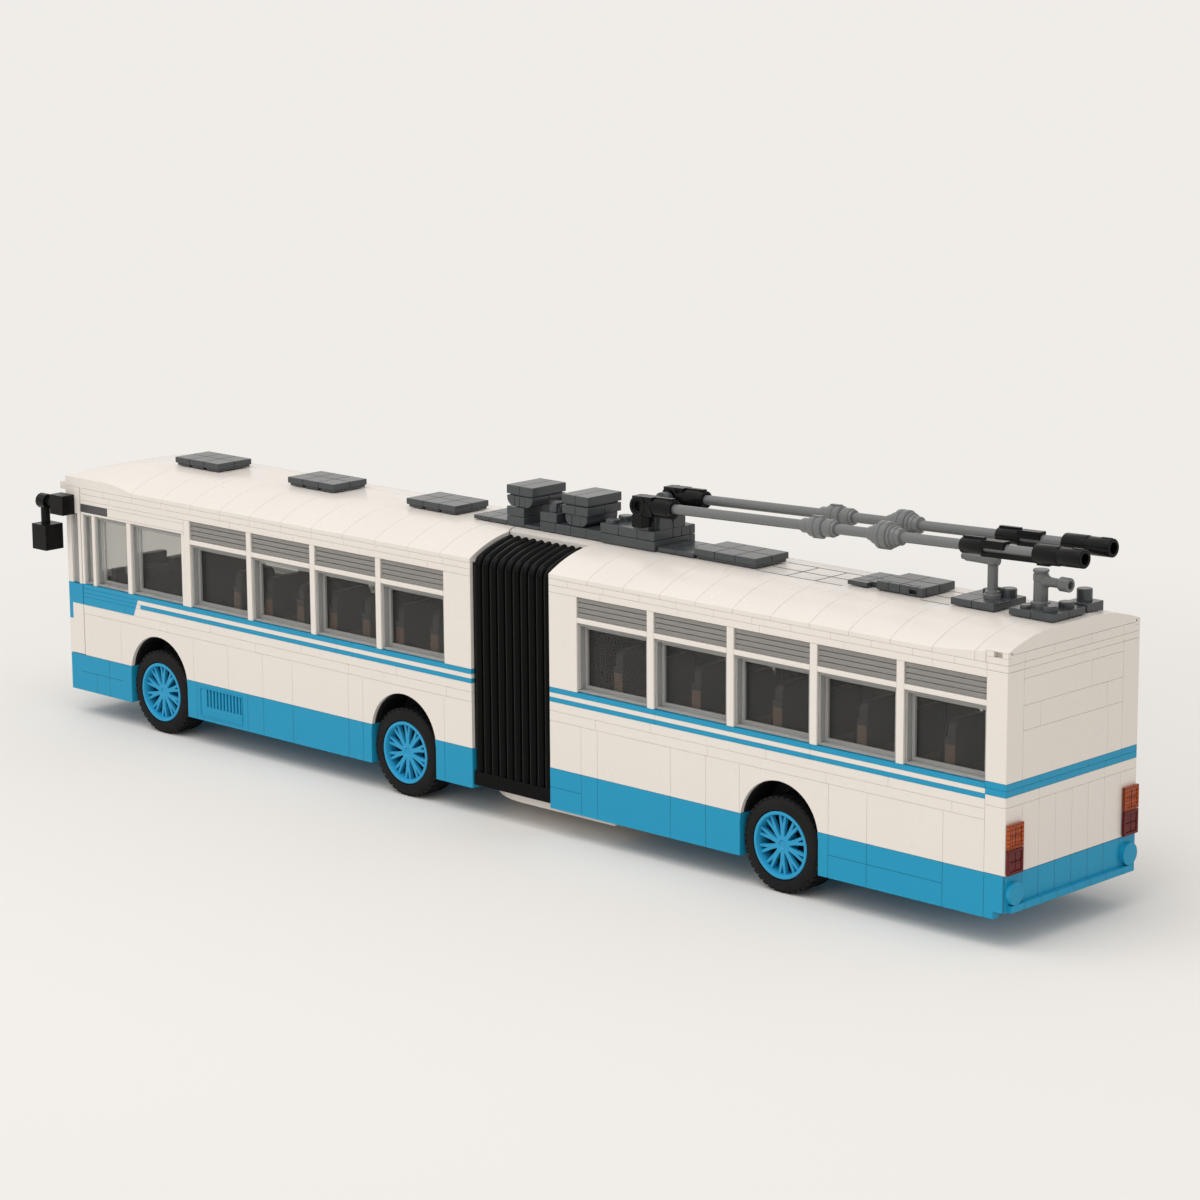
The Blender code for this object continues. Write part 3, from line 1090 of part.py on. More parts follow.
def pole(side, word):
    """One pole about its pivot; pieces are drawn along -x and hung on the tilted pivot."""
    pivot = bpy.data.objects.new(f"pole_pivot_{word}", None)
    CUTTERS.objects.link(pivot)
    at = place(POLE_X[word], side * POLE_Y, POLE_Z)
    pivot.matrix_world = Matrix.Translation(at) @ Matrix.Rotation(POLE_PITCH, 4, "Y")
    already = set(CUTTERS.objects) | set(PARTS.objects)
    sleeve_bore = POLE_RADIUS + GAP
    head_start = POLE_REACH - sum(HEAD_LENGTHS)
    bar_end = head_start + HEAD_LENGTHS[0] - 1.0

    hub = rods(f"pole_hub_{word}", [("y", (0, 0, 0), HUB_RADIUS, HUB_WIDTH)], "black", steps=ROUND_STEPS)
    join(hub, along(f"pole_sleeve_{word}", 0, [SLEEVE_END], [SLEEVE_RADIUS]))
    eye_turn = ("y", (0, 0, 0), HUB_PIN_RADIUS + GAP, 4 * HUB_WIDTH)
    apply(hub, rods(f"pole_eye_{word}", [eye_turn], steps=SMALL_STEPS))
    apply(hub, along(f"pole_bore_{word}", BAR_START - GAP, [SLEEVE_END], [sleeve_bore]))

    bar = along(f"pole_bar_{word}", BAR_START, [bar_end - GAP - BAR_START], [POLE_RADIUS], "light grey")
    join(
        bar,
        along(f"pole_coupling_{word}", COUPLING_START[word], COUPLING, COUPLING_RADII),
        along(f"pole_flange_{word}", FLANGE_START[word], FLANGE, FLANGE_RADII),
    )

    head = along(f"pole_head_{word}", head_start, HEAD_LENGTHS, HEAD_RADII, "black", ROUND_STEPS)
    clip_end = CLIP_START + CLIP_LENGTHS[0]
    strip_z = (sleeve_bore + 0.1, CLIP_RADIUS)
    strips = [
        (-clip_end - CLIP_LENGTHS[1], -clip_end + 1, -STRIP_HALF, STRIP_HALF, *strip_z),
        (-head_start - 1, -clip_end + 1, -STRIP_HALF, STRIP_HALF, -strip_z[1], -strip_z[0]),
    ]
    join(
        head,
        along(f"pole_clip_{word}", CLIP_START, [CLIP_LENGTHS[0]], [CLIP_RADIUS]),
        boxes(f"pole_strips_{word}", strips),
    )
    apply(head, along(f"pole_head_bore_{word}", CLIP_START - 1, [bar_end - CLIP_START + 1], [sleeve_bore]))
    apply(head, along(f"pole_tip_bore_{word}", POLE_REACH - TIP_BORE[1], [2 * TIP_BORE[1]], [TIP_BORE[0]]))

    for piece in set(CUTTERS.objects) | set(PARTS.objects):
        if piece not in already:
            piece.data.transform(Matrix.Translation(-place(0, 0, 0)))
            piece.parent = pivot


pole(1, "left")
pole(-1, "right")


# Doors: leaves hinged at the outer edges of each opening
def leaf(name, hinge_x, far_x):
    """One leaf, with pockets that leave a thin web of glass, hinged about a vertical axis."""
    way = 1 if far_x > hinge_x else -1
    width = abs(far_x - hinge_x)
    pivot = bpy.data.objects.new(f"{name}_pivot", None)
    CUTTERS.objects.link(pivot)
    pivot.location = place(hinge_x, -HALF_WIDTH, 0)
    y0, y1 = DOOR_SET_BACK, DOOR_SET_BACK + DOOR_THICKNESS
    top_z = DOOR_TOP_Z - DOOR_CLEARANCE
    body = boxes(name, [(way * DOOR_CLEARANCE, way * width, y0, y1, DOOR_BOTTOM_Z, top_z)], "white")
    pane = (way * (DOOR_CLEARANCE + DOOR_FRAME), way * (width - DOOR_FRAME))
    lower = (DOOR_BOTTOM_Z + 8.0, WINDOW_Z - 5.4)
    upper = (WINDOW_Z - 3.0, top_z - DOOR_FRAME - 1)
    web_y = (y0 + (DOOR_THICKNESS - DOOR_WEB) / 2, y0 + (DOOR_THICKNESS + DOOR_WEB) / 2)
    pockets = []
    for span in (lower, upper):
        pockets.append((*pane, y0 - 1, web_y[0], *span))
        pockets.append((*pane, web_y[1], y1 + 1, *span))
    tool = boxes(f"{name}_pockets", pockets)
    apply(body, tool)
    for piece in (body, tool):
        piece.data.transform(Matrix.Translation(-place(0, 0, 0)))
        piece.parent = pivot


def door(name, x0, x1, leaves):
    if leaves == 1:
        leaf(name, x1, x0 + DOOR_CLEARANCE)
        return
    middle = (x0 + x1) / 2
    leaf(f"{name}_front_leaf", x1, middle + DOOR_CLEARANCE / 2)
    leaf(f"{name}_rear_leaf", x0, middle - DOOR_CLEARANCE / 2)


door("door_rear", *REAR_DOOR)
door("door_middle", *MIDDLE_DOOR)
door("door_cab", *CAB_DOOR)
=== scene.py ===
import math

import bmesh
import bpy
import numpy as np
from mathutils import Matrix, Vector


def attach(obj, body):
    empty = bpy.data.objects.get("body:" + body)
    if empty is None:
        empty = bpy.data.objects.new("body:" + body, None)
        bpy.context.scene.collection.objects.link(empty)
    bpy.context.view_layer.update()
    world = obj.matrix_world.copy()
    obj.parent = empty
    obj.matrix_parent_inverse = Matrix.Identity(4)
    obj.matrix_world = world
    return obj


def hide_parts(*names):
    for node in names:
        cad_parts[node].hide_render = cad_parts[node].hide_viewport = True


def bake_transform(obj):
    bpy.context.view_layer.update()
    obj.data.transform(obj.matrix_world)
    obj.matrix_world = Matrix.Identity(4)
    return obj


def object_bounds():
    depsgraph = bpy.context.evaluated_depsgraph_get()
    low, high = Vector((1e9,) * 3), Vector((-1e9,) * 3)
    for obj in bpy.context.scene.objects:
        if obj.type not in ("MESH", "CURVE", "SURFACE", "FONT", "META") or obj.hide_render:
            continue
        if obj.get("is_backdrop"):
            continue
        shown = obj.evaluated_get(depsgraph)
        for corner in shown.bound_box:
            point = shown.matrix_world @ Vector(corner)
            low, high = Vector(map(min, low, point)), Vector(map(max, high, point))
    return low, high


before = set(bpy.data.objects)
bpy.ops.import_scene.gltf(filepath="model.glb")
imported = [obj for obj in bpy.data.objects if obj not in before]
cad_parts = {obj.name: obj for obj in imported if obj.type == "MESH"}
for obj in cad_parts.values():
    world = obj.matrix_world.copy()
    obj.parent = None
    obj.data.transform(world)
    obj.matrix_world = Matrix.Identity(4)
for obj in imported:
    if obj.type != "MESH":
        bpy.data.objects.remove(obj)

mm = 0.001
centreX = 217.9  # the bus's own x, counted from the tail wall, minus this is the frame's x
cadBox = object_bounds()
print("frame loaded:", len(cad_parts), "nodes")


# Camera, from the photograph's own points on the bus
cameraView = {
    "place": (-612.2, 837.1, 321.5),  # mm, in the bus's own x, y, z
    "right": (-0.72211, -0.69175, -0.00632),
    "down": (-0.14113, 0.15626, -0.97758),
    "ahead": (0.67723, -0.70502, -0.21046),
    "focal": 3620.8,  # in pixels of the 1200 pixel frame
    "frame": 1200,
    "sensor": 36,
}


def makeCamera(view):
    lens = bpy.data.cameras.new("photoCamera")
    lens.sensor_width = view["sensor"]
    lens.lens = view["focal"] * view["sensor"] / view["frame"]
    lens.clip_start = 0.01
    lens.clip_end = 20
    camera = bpy.data.objects.new("photoCamera", lens)
    bpy.context.scene.collection.objects.link(camera)
    right, down, ahead = (np.array(view[key]) for key in ("right", "down", "ahead"))
    turn = np.eye(4)
    turn[:3, 0] = right
    turn[:3, 1] = -down
    turn[:3, 2] = -ahead
    x, y, z = view["place"]
    turn[:3, 3] = ((x - centreX) * mm, y * mm, z * mm)
    camera.matrix_world = Matrix(turn.tolist())
    bpy.context.scene.camera = camera


makeCamera(cameraView)
print("camera placed")


# Node helpers for the materials
def socket(tree, value, target):
    if isinstance(value, (int, float, tuple, list)):
        target.default_value = value
    else:
        tree.links.new(value, target)


def addNode(tree, kind, inputs, **settings):
    # A shader node with its settings; each input takes a plain value or another node's output
    node = tree.nodes.new("ShaderNode" + kind)
    for key, value in settings.items():
        setattr(node, key, value)
    for key, value in inputs.items():
        socket(tree, value, node.inputs[key])
    return node


def sums(tree, operation, first, second=0.5, third=0.5):
    inputs = {0: first, 1: second}
    if operation in ("COMPARE", "MULTIPLY_ADD"):
        inputs[2] = third
    return addNode(tree, "Math", inputs, operation=operation).outputs[0]


def mixColour(tree, factor, first, second):
    inputs = {"Factor": factor, "A": first, "B": second}
    return addNode(tree, "Mix", inputs, data_type="RGBA").outputs["Result"]


def objectPlace(tree):
    return addNode(tree, "TexCoord", {}).outputs["Object"]


def objectAxes(tree):
    # Object coordinates in the bus's own millimetres: x from the tail wall, y, z
    split = addNode(tree, "SeparateXYZ", {0: objectPlace(tree)})
    x = sums(tree, "MULTIPLY_ADD", split.outputs[0], 1 / mm, centreX)
    y, z = (sums(tree, "MULTIPLY", split.outputs[axis], 1 / mm) for axis in (1, 2))
    return x, y, z


def below(tree, value, limit):
    return sums(tree, "LESS_THAN", value, limit)


def above(tree, value, limit):
    return sums(tree, "GREATER_THAN", value, limit)


def between(tree, value, low, high):
    return sums(tree, "MULTIPLY", above(tree, value, low), below(tree, value, high))


def nearMultiple(tree, value, start, pitch, half):
    # 1 within half of start plus any whole number of pitches
    away = sums(tree, "PINGPONG", sums(tree, "SUBTRACT", value, start), pitch / 2)
    return below(tree, away, half)


def joined(tree, operation, masks):
    total = masks[0]
    for mask in masks[1:]:
        total = sums(tree, operation, total, mask)
    return total


def anyOf(tree, *masks):
    return joined(tree, "MAXIMUM", masks)


def allOf(tree, *masks):
    return joined(tree, "MULTIPLY", masks)


def linear(r, g, b):
    def channel(value):
        value /= 255
        return value / 12.92 if value <= 0.04045 else ((value + 0.055) / 1.055) ** 2.4
    return (channel(r), channel(g), channel(b), 1.0)


def dimmed(tint, share):
    return tuple(channel * share for channel in tint[:3]) + (1.0,)


tints = {
    "white": linear(234, 227, 219),
    "blue": linear(29, 150, 190),
    "blueSeam": linear(16, 106, 140),
    "rim": linear(44, 158, 203),
    "black": linear(15, 15, 16),
    "grey": linear(64, 68, 71),
    "lightGrey": linear(110, 112, 112),
    "stripGrey": linear(80, 80, 80),
    "seat": linear(50, 48, 48),
    "brown": linear(104, 80, 68),
    "tyre": linear(20, 20, 20),
    "dust": linear(34, 33, 33),
    "bellows": linear(8, 8, 8),
    "louvre": linear(188, 185, 180),
    "clear": linear(222, 222, 219),
    "red": linear(118, 10, 10),
    "redDeep": linear(96, 12, 12),
    "amber": linear(205, 92, 14),
    "amberDeep": linear(140, 50, 8),
}


def newMaterial(name, roughness=0.3, gloss=0.5):
    material = bpy.data.materials.new(name)
    material.use_nodes = True
    shader = material.node_tree.nodes["Principled BSDF"]
    shader.inputs["Roughness"].default_value = roughness
    shader.inputs["Specular IOR Level"].default_value = gloss
    return material, material.node_tree, shader


def noise(tree, scale, detail=2.0):
    inputs = {"Scale": scale, "Detail": detail, "Vector": objectPlace(tree)}
    return addNode(tree, "TexNoise", inputs).outputs["Fac"]


def bumped(tree, height, strength, distance, under=None, invert=False):
    inputs = {"Strength": strength, "Distance": distance * mm, "Height": height}
    if under is not None:
        inputs["Normal"] = under
    return addNode(tree, "Bump", inputs, invert=invert).outputs["Normal"]


moulding = {
    "corner": 0.2,
    "waveDepth": 0.3,
    "grooveDepth": 0.05, "grooveStrength": 0.6,
    "gloss": (-0.06, 0.08),
}


def mouldedSkin(tree, shader, scale=90.0, strength=0.05, grooves=None, soften=True):
    # Faint waviness of moulded plastic, a little uneven gloss, and grooves where bricks meet
    plan, under = moulding, None
    if soften:
        under = addNode(tree, "Bevel", {"Radius": plan["corner"] * mm}, samples=4).outputs["Normal"]
    normal = bumped(tree, noise(tree, scale), strength, plan["waveDepth"], under)
    if grooves is not None:
        normal = bumped(tree, grooves, plan["grooveStrength"], plan["grooveDepth"], normal, invert=True)
    tree.links.new(normal, shader.inputs["Normal"])
    base = shader.inputs["Roughness"].default_value
    less, more = plan["gloss"]
    patches = noise(tree, 35.0, 4.0)
    spread = addNode(tree, "MapRange", {"To Min": base + less, "To Max": base + more, "Value": patches})
    tree.links.new(spread.outputs["Result"], shader.inputs["Roughness"])


def plainPlastic(name, tint, roughness=0.32, gloss=0.35, soften=False):
    # Each moulding's colour wanders by a few hundredths, as dyed plastic does
    material, tree, shader = newMaterial(name, roughness, gloss)
    colour = mixColour(tree, noise(tree, 24.0, 3.0), dimmed(tint, 0.93), tint)
    tree.links.new(colour, shader.inputs["Base Color"])
    mouldedSkin(tree, shader, soften=soften)
    return material


# The livery: where the blue bands run, and where the walls' inner faces get painted shade, in bus millimetres
livery = {
    "liningY": 30.6,
    "liningX": (4.0, 428.0),
    "stripes": ((44.6, 46.12), (47.68, 49.33)),
    "stripeFront": 390.9,
    "band": (41.6, 49.33),
    "bandRear": 394.8,  # foot of its slanting rear end
    "bandSlant": 0.43,
    "tailBand": (46.0, 50.0),
    "tailCorner": 7.6,
    "noseCorner": 430.0,
    "noseBand": (35.6, 41.7),
    "skirtTop": 22.55,
}


def liveryMaterial(plan):
    material, tree, shader = newMaterial("liveryWall", 0.28, 0.25)
    x, y, z = objectAxes(tree)
    low, high = plan["stripes"]
    ahead = above(tree, x, plan["tailCorner"])
    thin = allOf(tree, between(tree, z, *low), below(tree, x, plan["stripeFront"]), ahead)
    top = allOf(tree, between(tree, z, *high), ahead)
    # The solid front band starts at a slanted edge, further forward lower down
    rise = sums(tree, "SUBTRACT", z, plan["band"][0])
    edge = sums(tree, "MULTIPLY_ADD", rise, -plan["bandSlant"], plan["bandRear"])
    past = above(tree, sums(tree, "SUBTRACT", x, edge), 0.0)
    front = allOf(tree, between(tree, z, *plan["band"]), past)
    tail = allOf(tree, between(tree, z, *plan["tailBand"]), below(tree, x, plan["tailCorner"]))
    # At the nose the corner strip is lower and reaches down to the headlamps
    corner = allOf(tree, between(tree, z, *plan["noseBand"]), above(tree, x, plan["noseCorner"]))
    blue = anyOf(tree, thin, top, front, tail, below(tree, z, plan["skirtTop"]), corner)
    white = mixColour(tree, noise(tree, 30.0, 3.0), dimmed(tints["white"], 0.96), tints["white"])
    outside = mixColour(tree, blue, white, tints["blue"])
    # The walls' inner faces are painted dark with the seats' tint: painted shade standing in for the dark of
    # the saloon
    inner = below(tree, sums(tree, "ABSOLUTE", y), plan["liningY"])
    paintedShade = allOf(tree, inner, between(tree, x, *plan["liningX"]))
    tree.links.new(mixColour(tree, paintedShade, outside, tints["seat"]), shader.inputs["Base Color"])
    mouldedSkin(tree, shader)
    return material


# The skirt's seams: uprights on both sides, plate joints along three stretches, and tiles on the tail
skirtSeams = {
    "groove": 0.11,
    "sideFrom": 31.2,
    "tailTo": 0.6,
    "tile": 8.0,
    "uprights": (7.5, 22.8, 51.6, 66.6, 116.3, 131.2, 162.8, 170.0,
                 233.2, 273.1, 280.4, 309.0, 324.6, 333.0, 360.6, 410.0),
    "plateZ": 16.2,
    "plates": ((22.8, 66.6), (170.0, 184.0), (402.6, 426.0)),
    "stubX": 417.4, "stubFoot": 8.0,
}


def skirtMaterial(plan):
    material, tree, shader = newMaterial("blueSkirt", 0.3, 0.22)
    x, y, z = objectAxes(tree)
    wide = plan["groove"]
    side = above(tree, sums(tree, "ABSOLUTE", y), plan["sideFrom"])
    near = [sums(tree, "COMPARE", x, place, wide) for place in plan["uprights"]]
    uprights = allOf(tree, anyOf(tree, *near), side)
    level = sums(tree, "COMPARE", z, plan["plateZ"], wide)
    plates = allOf(tree, level, side, anyOf(tree, *(between(tree, x, *span) for span in plan["plates"])))
    stub = allOf(tree, sums(tree, "COMPARE", x, plan["stubX"], wide),
                 between(tree, z, plan["stubFoot"], plan["plateZ"]), side)
    tiles = allOf(tree, nearMultiple(tree, y, 0.0, plan["tile"], wide), below(tree, x, plan["tailTo"]))
    seams = anyOf(tree, uprights, plates, stub, tiles)
    tree.links.new(mixColour(tree, seams, tints["blue"], tints["blueSeam"]), shader.inputs["Base Color"])
    mouldedSkin(tree, shader, grooves=seams)
    return material


frameFrom = 28.4  # mm from the middle of the bus, where a pane's thick frame starts


def clearPlastic(name, tint, transmission, roughness, ior=1.45, rim=None):
    material, tree, shader = newMaterial(name, roughness)
    shader.inputs["Base Color"].default_value = tint
    shader.inputs["Transmission Weight"].default_value = transmission
    shader.inputs["IOR"].default_value = ior
    tree.links.new(bumped(tree, noise(tree, 60.0), 0.03, 0.2), shader.inputs["Normal"])
    if rim is not None:
        # The frame lets less through than the pane, which lies further in
        outer = above(tree, sums(tree, "ABSOLUTE", objectAxes(tree)[1]), frameFrom)
        through = sums(tree, "MULTIPLY_ADD", outer, rim - transmission, transmission)
        tree.links.new(through, shader.inputs["Transmission Weight"])
    return material


def saloonMaterial():
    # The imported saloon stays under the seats: dark floor and wheel boxes
    material, tree, shader = newMaterial("saloonFloor", 0.5, 0.2)
    colour = mixColour(tree, noise(tree, 40.0), tints["seat"], tints["black"])
    tree.links.new(colour, shader.inputs["Base Color"])
    mouldedSkin(tree, shader, soften=False)
    return material


lampPlan = {"split": 30.6, "prism": 1.3, "prismHalf": 0.22, "transmission": 0.25}


def lampMaterial(plan):
    # Amber above, red below, both of clear moulded plastic with fine prisms inside
    material, tree, shader = newMaterial("tailLamp", 0.12, 0.2)
    _, y, z = objectAxes(tree)
    upper = above(tree, z, plan["split"])
    pitch, half = plan["prism"], plan["prismHalf"]
    prisms = anyOf(tree, *(nearMultiple(tree, axis, 0.0, pitch, half) for axis in (y, z)))
    glow = mixColour(tree, upper, tints["red"], tints["amber"])
    deep = mixColour(tree, upper, tints["redDeep"], tints["amberDeep"])
    tree.links.new(mixColour(tree, prisms, glow, deep), shader.inputs["Base Color"])
    shader.inputs["Transmission Weight"].default_value = plan["transmission"]
    mouldedSkin(tree, shader, strength=0.2)
    return material


def tyreMaterial():
    # Rubber: matt, finely grained, a little dusty on the tread
    material, tree, shader = newMaterial("tyreRubber", 0.62, 0.12)
    colour = mixColour(tree, noise(tree, 120.0, 6.0), tints["tyre"], tints["dust"])
    tree.links.new(colour, shader.inputs["Base Color"])
    mouldedSkin(tree, shader, scale=900.0, strength=0.2, soften=False)
    return material


finishes = {
    "wall": liveryMaterial(livery),
    "skirt": skirtMaterial(skirtSeams),
    "white": plainPlastic("plainWhite", tints["white"], 0.26),
    "rim": plainPlastic("rimBlue", tints["rim"], 0.34, 0.25),
    "black": plainPlastic("glossBlack", tints["black"], 0.24, 0.15),
    "grey": plainPlastic("darkGrey", tints["grey"], 0.22, 0.5),
    "lightGrey": plainPlastic("lightGrey", tints["lightGrey"], 0.25, 0.45),
    "stripGrey": plainPlastic("stripGrey", tints["stripGrey"], 0.34),
    "tyre": tyreMaterial(),
    "clear": clearPlastic("clearPanes", tints["clear"], 0.97, 0.02, 1.16, 0.62),
    "louvre": clearPlastic("louvrePanes", tints["louvre"], 0.55, 0.22),
    "floor": saloonMaterial(),
    "seat": plainPlastic("seatDark", tints["seat"], 0.36, 0.3),
    "brown": plainPlastic("seatBrown", tints["brown"], 0.4),
    "lamp": lampMaterial(lampPlan),
    "plainSoft": plainPlastic("softWhite", tints["white"], 0.3, soften=True),
    "bellows": plainPlastic("bellowsRubber", tints["bellows"], 0.2, 0.08),
    "blackSoft": plainPlastic("softBlack", tints["black"], 0.3, 0.15, soften=True),
}
print("materials:", len(finishes))


# Mesh helpers: a part is its points (rows of x, y, z in bus millimetres) and its faces (arrays of rows)
def boxes(spans):
    # Rows of x0, x1, y0, y1, z0, z1: each box takes its low or high end on every axis
    rows = np.sort(np.asarray(spans, float).reshape(-1, 3, 2), axis=2)
    pick = (np.arange(8)[:, None] >> np.arange(3)) & 1
    points = rows[:, np.arange(3), pick].reshape(-1, 3)
    skin = np.array([(0, 4, 6, 2), (1, 3, 7, 5), (0, 1, 5, 4), (2, 6, 7, 3), (0, 2, 3, 1), (4, 5, 7, 6)])
    faces = (skin + 8 * np.arange(len(rows))[:, None, None]).reshape(-1, 4)
    return points, [faces]


def prism(outline, axis, low, high):
    # A flat outline carried along x, y or z from low to high
    flat = np.asarray(outline, float)
    count = len(flat)
    ends = np.repeat([low, high], count)
    pairs = np.tile(flat, (2, 1))
    columns = {"x": (ends, pairs[:, 0], pairs[:, 1]), "y": (pairs[:, 0], ends, pairs[:, 1]),
               "z": (pairs[:, 0], pairs[:, 1], ends)}[axis]
    near = np.arange(count)
    far = np.roll(near, -1)
    around = np.stack([near, far, far + count, near + count], axis=1)
    return np.stack(columns, axis=1), [around, near[None, ::-1], near[None] + count]


def lathe(profile, base, direction, steps=32, ring=False):
    # A profile of (distance, radius) turned about the line from base along direction; the ends are
    # closed at the axis, or the profile's last point is joined to its first where it is a ring
    along, radius = np.asarray(profile, float).T
    ahead = np.asarray(direction, float) / np.linalg.norm(direction)
    first = np.cross(ahead, (0, 0, 1) if abs(ahead[2]) < 0.9 else (1, 0, 0))
    first /= np.linalg.norm(first)
    second = np.cross(ahead, first)
    turn = 2 * np.pi * np.arange(steps) / steps
    circle = np.cos(turn)[:, None] * first + np.sin(turn)[:, None] * second
    points = base + along[:, None, None] * ahead + radius[:, None, None] * circle
    count = len(along)
    i, j = np.meshgrid(np.arange(count if ring else count - 1), np.arange(steps), indexing="ij")
    further, following = (i + 1) % count, (j + 1) % steps
    walls = np.stack([i * steps + j, i * steps + following,
                      further * steps + following, further * steps + j], axis=2).reshape(-1, 4)
    if ring:
        return points.reshape(-1, 3), [walls]
    tips = np.stack([base + along[0] * ahead, base + along[-1] * ahead])
    edge = np.arange(steps)
    after = (edge + 1) % steps
    last = (count - 1) * steps
    front = np.stack([np.full(steps, count * steps), after, edge], axis=1)
    back = np.stack([np.full(steps, count * steps + 1), last + edge, last + after], axis=1)
    return np.concatenate([points.reshape(-1, 3), tips]), [walls, np.concatenate([front, back])]


def slab(top, bottom):
    # A curved plate between two rows of cuts: top and bottom are arrays (ends, points, 3)
    ends, count = top.shape[:2]
    points = np.concatenate([top.reshape(-1, 3), bottom.reshape(-1, 3)])
    base = ends * count
    e, i = np.meshgrid(np.arange(ends - 1), np.arange(count - 1), indexing="ij")
    a, b = (e * count + i).ravel(), ((e + 1) * count + i).ravel()
    upper = np.stack([a, b, b + 1, a + 1], axis=1)
    lower = np.stack([a, a + 1, b + 1, b], axis=1) + base
    i = np.arange(count - 1)
    last = (ends - 1) * count
    caps = np.concatenate([np.stack([i, i + 1, i + 1 + base, i + base], axis=1),
                           np.stack([i, i + base, i + 1 + base, i + 1], axis=1) + last])
    e = np.arange(ends - 1) * count
    rims = np.concatenate([np.stack([e, e + base, e + count + base, e + count], axis=1),
                           np.stack([e, e + count, e + count + base, e + base], axis=1) + count - 1])
    return points, [upper, lower, caps, rims]


def mirrored(part):
    return part[0] * (1, -1, 1), part[1]


def addPiece(name, parts, finish, body, slot, replaced=(), edge=0.0, segments=2, smooth=None):
    points, faces, start = [], [], 0
    for corners, arrays in parts:
        points.append(np.asarray(corners, float))
        for rows in arrays:
            faces += (np.asarray(rows) + start).tolist()
        start += len(corners)
    places = (np.concatenate(points) - (centreX, 0, 0)) * mm
    mesh = bpy.data.meshes.new(name)
    mesh.from_pydata(places.tolist(), [], faces)
    mesh.materials.append(finishes[finish])
    closed = bmesh.new()
    closed.from_mesh(mesh)
    bmesh.ops.recalc_face_normals(closed, faces=closed.faces)
    closed.to_mesh(mesh)
    closed.free()
    if smooth is not None:
        mesh.shade_smooth()
        mesh.set_sharp_from_angle(angle=math.radians(smooth))
    piece = bpy.data.objects.new(name, mesh)
    bpy.context.scene.collection.objects.link(piece)
    if edge:
        rounded = piece.modifiers.new("edges", "BEVEL")
        rounded.width = edge * mm
        rounded.segments = segments
        rounded.limit_method = "ANGLE"
        rounded.angle_limit = math.radians(40)
    if body:
        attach(piece, body)
    if replaced:
        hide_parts(*replaced)
    return piece


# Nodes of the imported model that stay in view, each with its finish
keptNodes = {
    "chassis_front": "skirt", "chassis_rear": "skirt", "coupling": "plainSoft", "nose": "wall",
    "windscreen": "clear", "mirror_left": "blackSoft", "mirror_right": "blackSoft",
    "saloon_front": "floor", "saloon_rear": "floor",
    "tail_lamp_left": "lamp", "tail_lamp_right": "lamp",
    "door_cab": "wall", "door_middle_front_leaf": "wall", "door_middle_rear_leaf": "wall",
    "door_rear_front_leaf": "wall", "door_rear_rear_leaf": "wall",
}
for node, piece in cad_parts.items():
    piece.data.materials.clear()
    piece.data.materials.append(finishes[keptNodes.get(node, "white")])
print("kept nodes finished:", len(keptNodes))


# Walls: courses of bricks and tiles with fine slits between them
bricks = {
    "slit": 0.025,  # half the slit between two neighbours
    "edge": 0.12,
    "face": 32.0,
    "inside": 29.2,
    "wheelArch": 15.8,
    "archCentre": 19.8,
    "seam": 38.3,
    "plate": (41.6, 44.6),
    "pane": (49.38, 72.2),
    "louvre": (73.9, 80.6),
    "doorTop": 80.4,
    "header": 82.9,
    "top": 85.0,
    "cabStart": 365.2,
    "cabPaneTop": 75.4,
    "strip": (76.2, 79.2), "stripFrom": 408.2,
    "cabSeam": 392.0,
    "long": 48.0,
}
cars = {
    "rear": {
        "ends": (7.6, 184.0), "axles": (86.3,),
        "lower": (22.8, 51.6, 66.6, 102.3, 116.3, 131.2, 162.8, 170.0),
        "windows": [(7.5 + 33.4 * i, 38.0 + 33.4 * i) for i in range(5)],
        "cab": [], "doors": [(107.1, 138.2)], "stripeSeams": (74.0, 137.8),
        "header": [3.7 + 15.62 * i for i in range(12)],
        "arches": [(66.6, 102.3)],
    },
    "front": {
        "ends": (220.0, 423.7), "axles": (253.2, 381.5),
        "lower": (233.2, 273.1, 280.4, 309.0, 324.6, 343.1, 362.0, 402.6),
        "windows": [(232.7 + 33.0 * i, 263.2 + 33.0 * i) for i in range(4)],
        "cab": [(366.9, 395.2), (397.5, 415.8), (417.5, 422.4)],
        "doors": [(298.7, 329.2), (399.3, 422.4)], "stripeSeams": (286.0, 350.0),
        "header": [232.8 + 16.1 * i for i in range(12)],
        "arches": [(233.2, 273.1), (362.0, 402.6)],
    },
}


def stretches(start, end, seams, holes):
    # The lengths between start and end, split at the seams, without the holes
    marks = {start, end}
    marks.update(mark for mark in seams if start < mark < end)
    marks.update(mark for hole in holes for mark in hole if start < mark < end)
    marks = sorted(marks)
    return [
        (a, b) for a, b in zip(marks, marks[1:])
        if b - a > 0.3 and not any(h0 - 0.01 <= a and b <= h1 + 0.01 for h0, h1 in holes)
    ]


def openings(car, side):
    # The doors, windows and cab windows of one side; the doors are on the right side only
    own = cars[car]
    doors = own["doors"] if side < 0 else []

    def clear(spans):
        return [w for w in spans if all(w[1] < d[0] - 1 or w[0] > d[1] + 1 for d in doors)]

    return doors, clear(own["windows"]), clear(own["cab"])


def archBrick(x0, x1, axle, plan):
    # A brick with a wheel's arc cut out of its lower edge
    low, high = livery["skirtTop"] + plan["slit"], plan["seam"] - plan["slit"]
    radius = plan["wheelArch"]
    reach = math.asin((low - plan["archCentre"]) / radius)
    turn = np.linspace(np.pi - reach, reach, 33)
    arc = np.stack([axle + radius * np.cos(turn), plan["archCentre"] + radius * np.sin(turn)], axis=1)
    return np.concatenate([arc, [(x1, low), (x1, high), (x0, high), (x0, low)]])


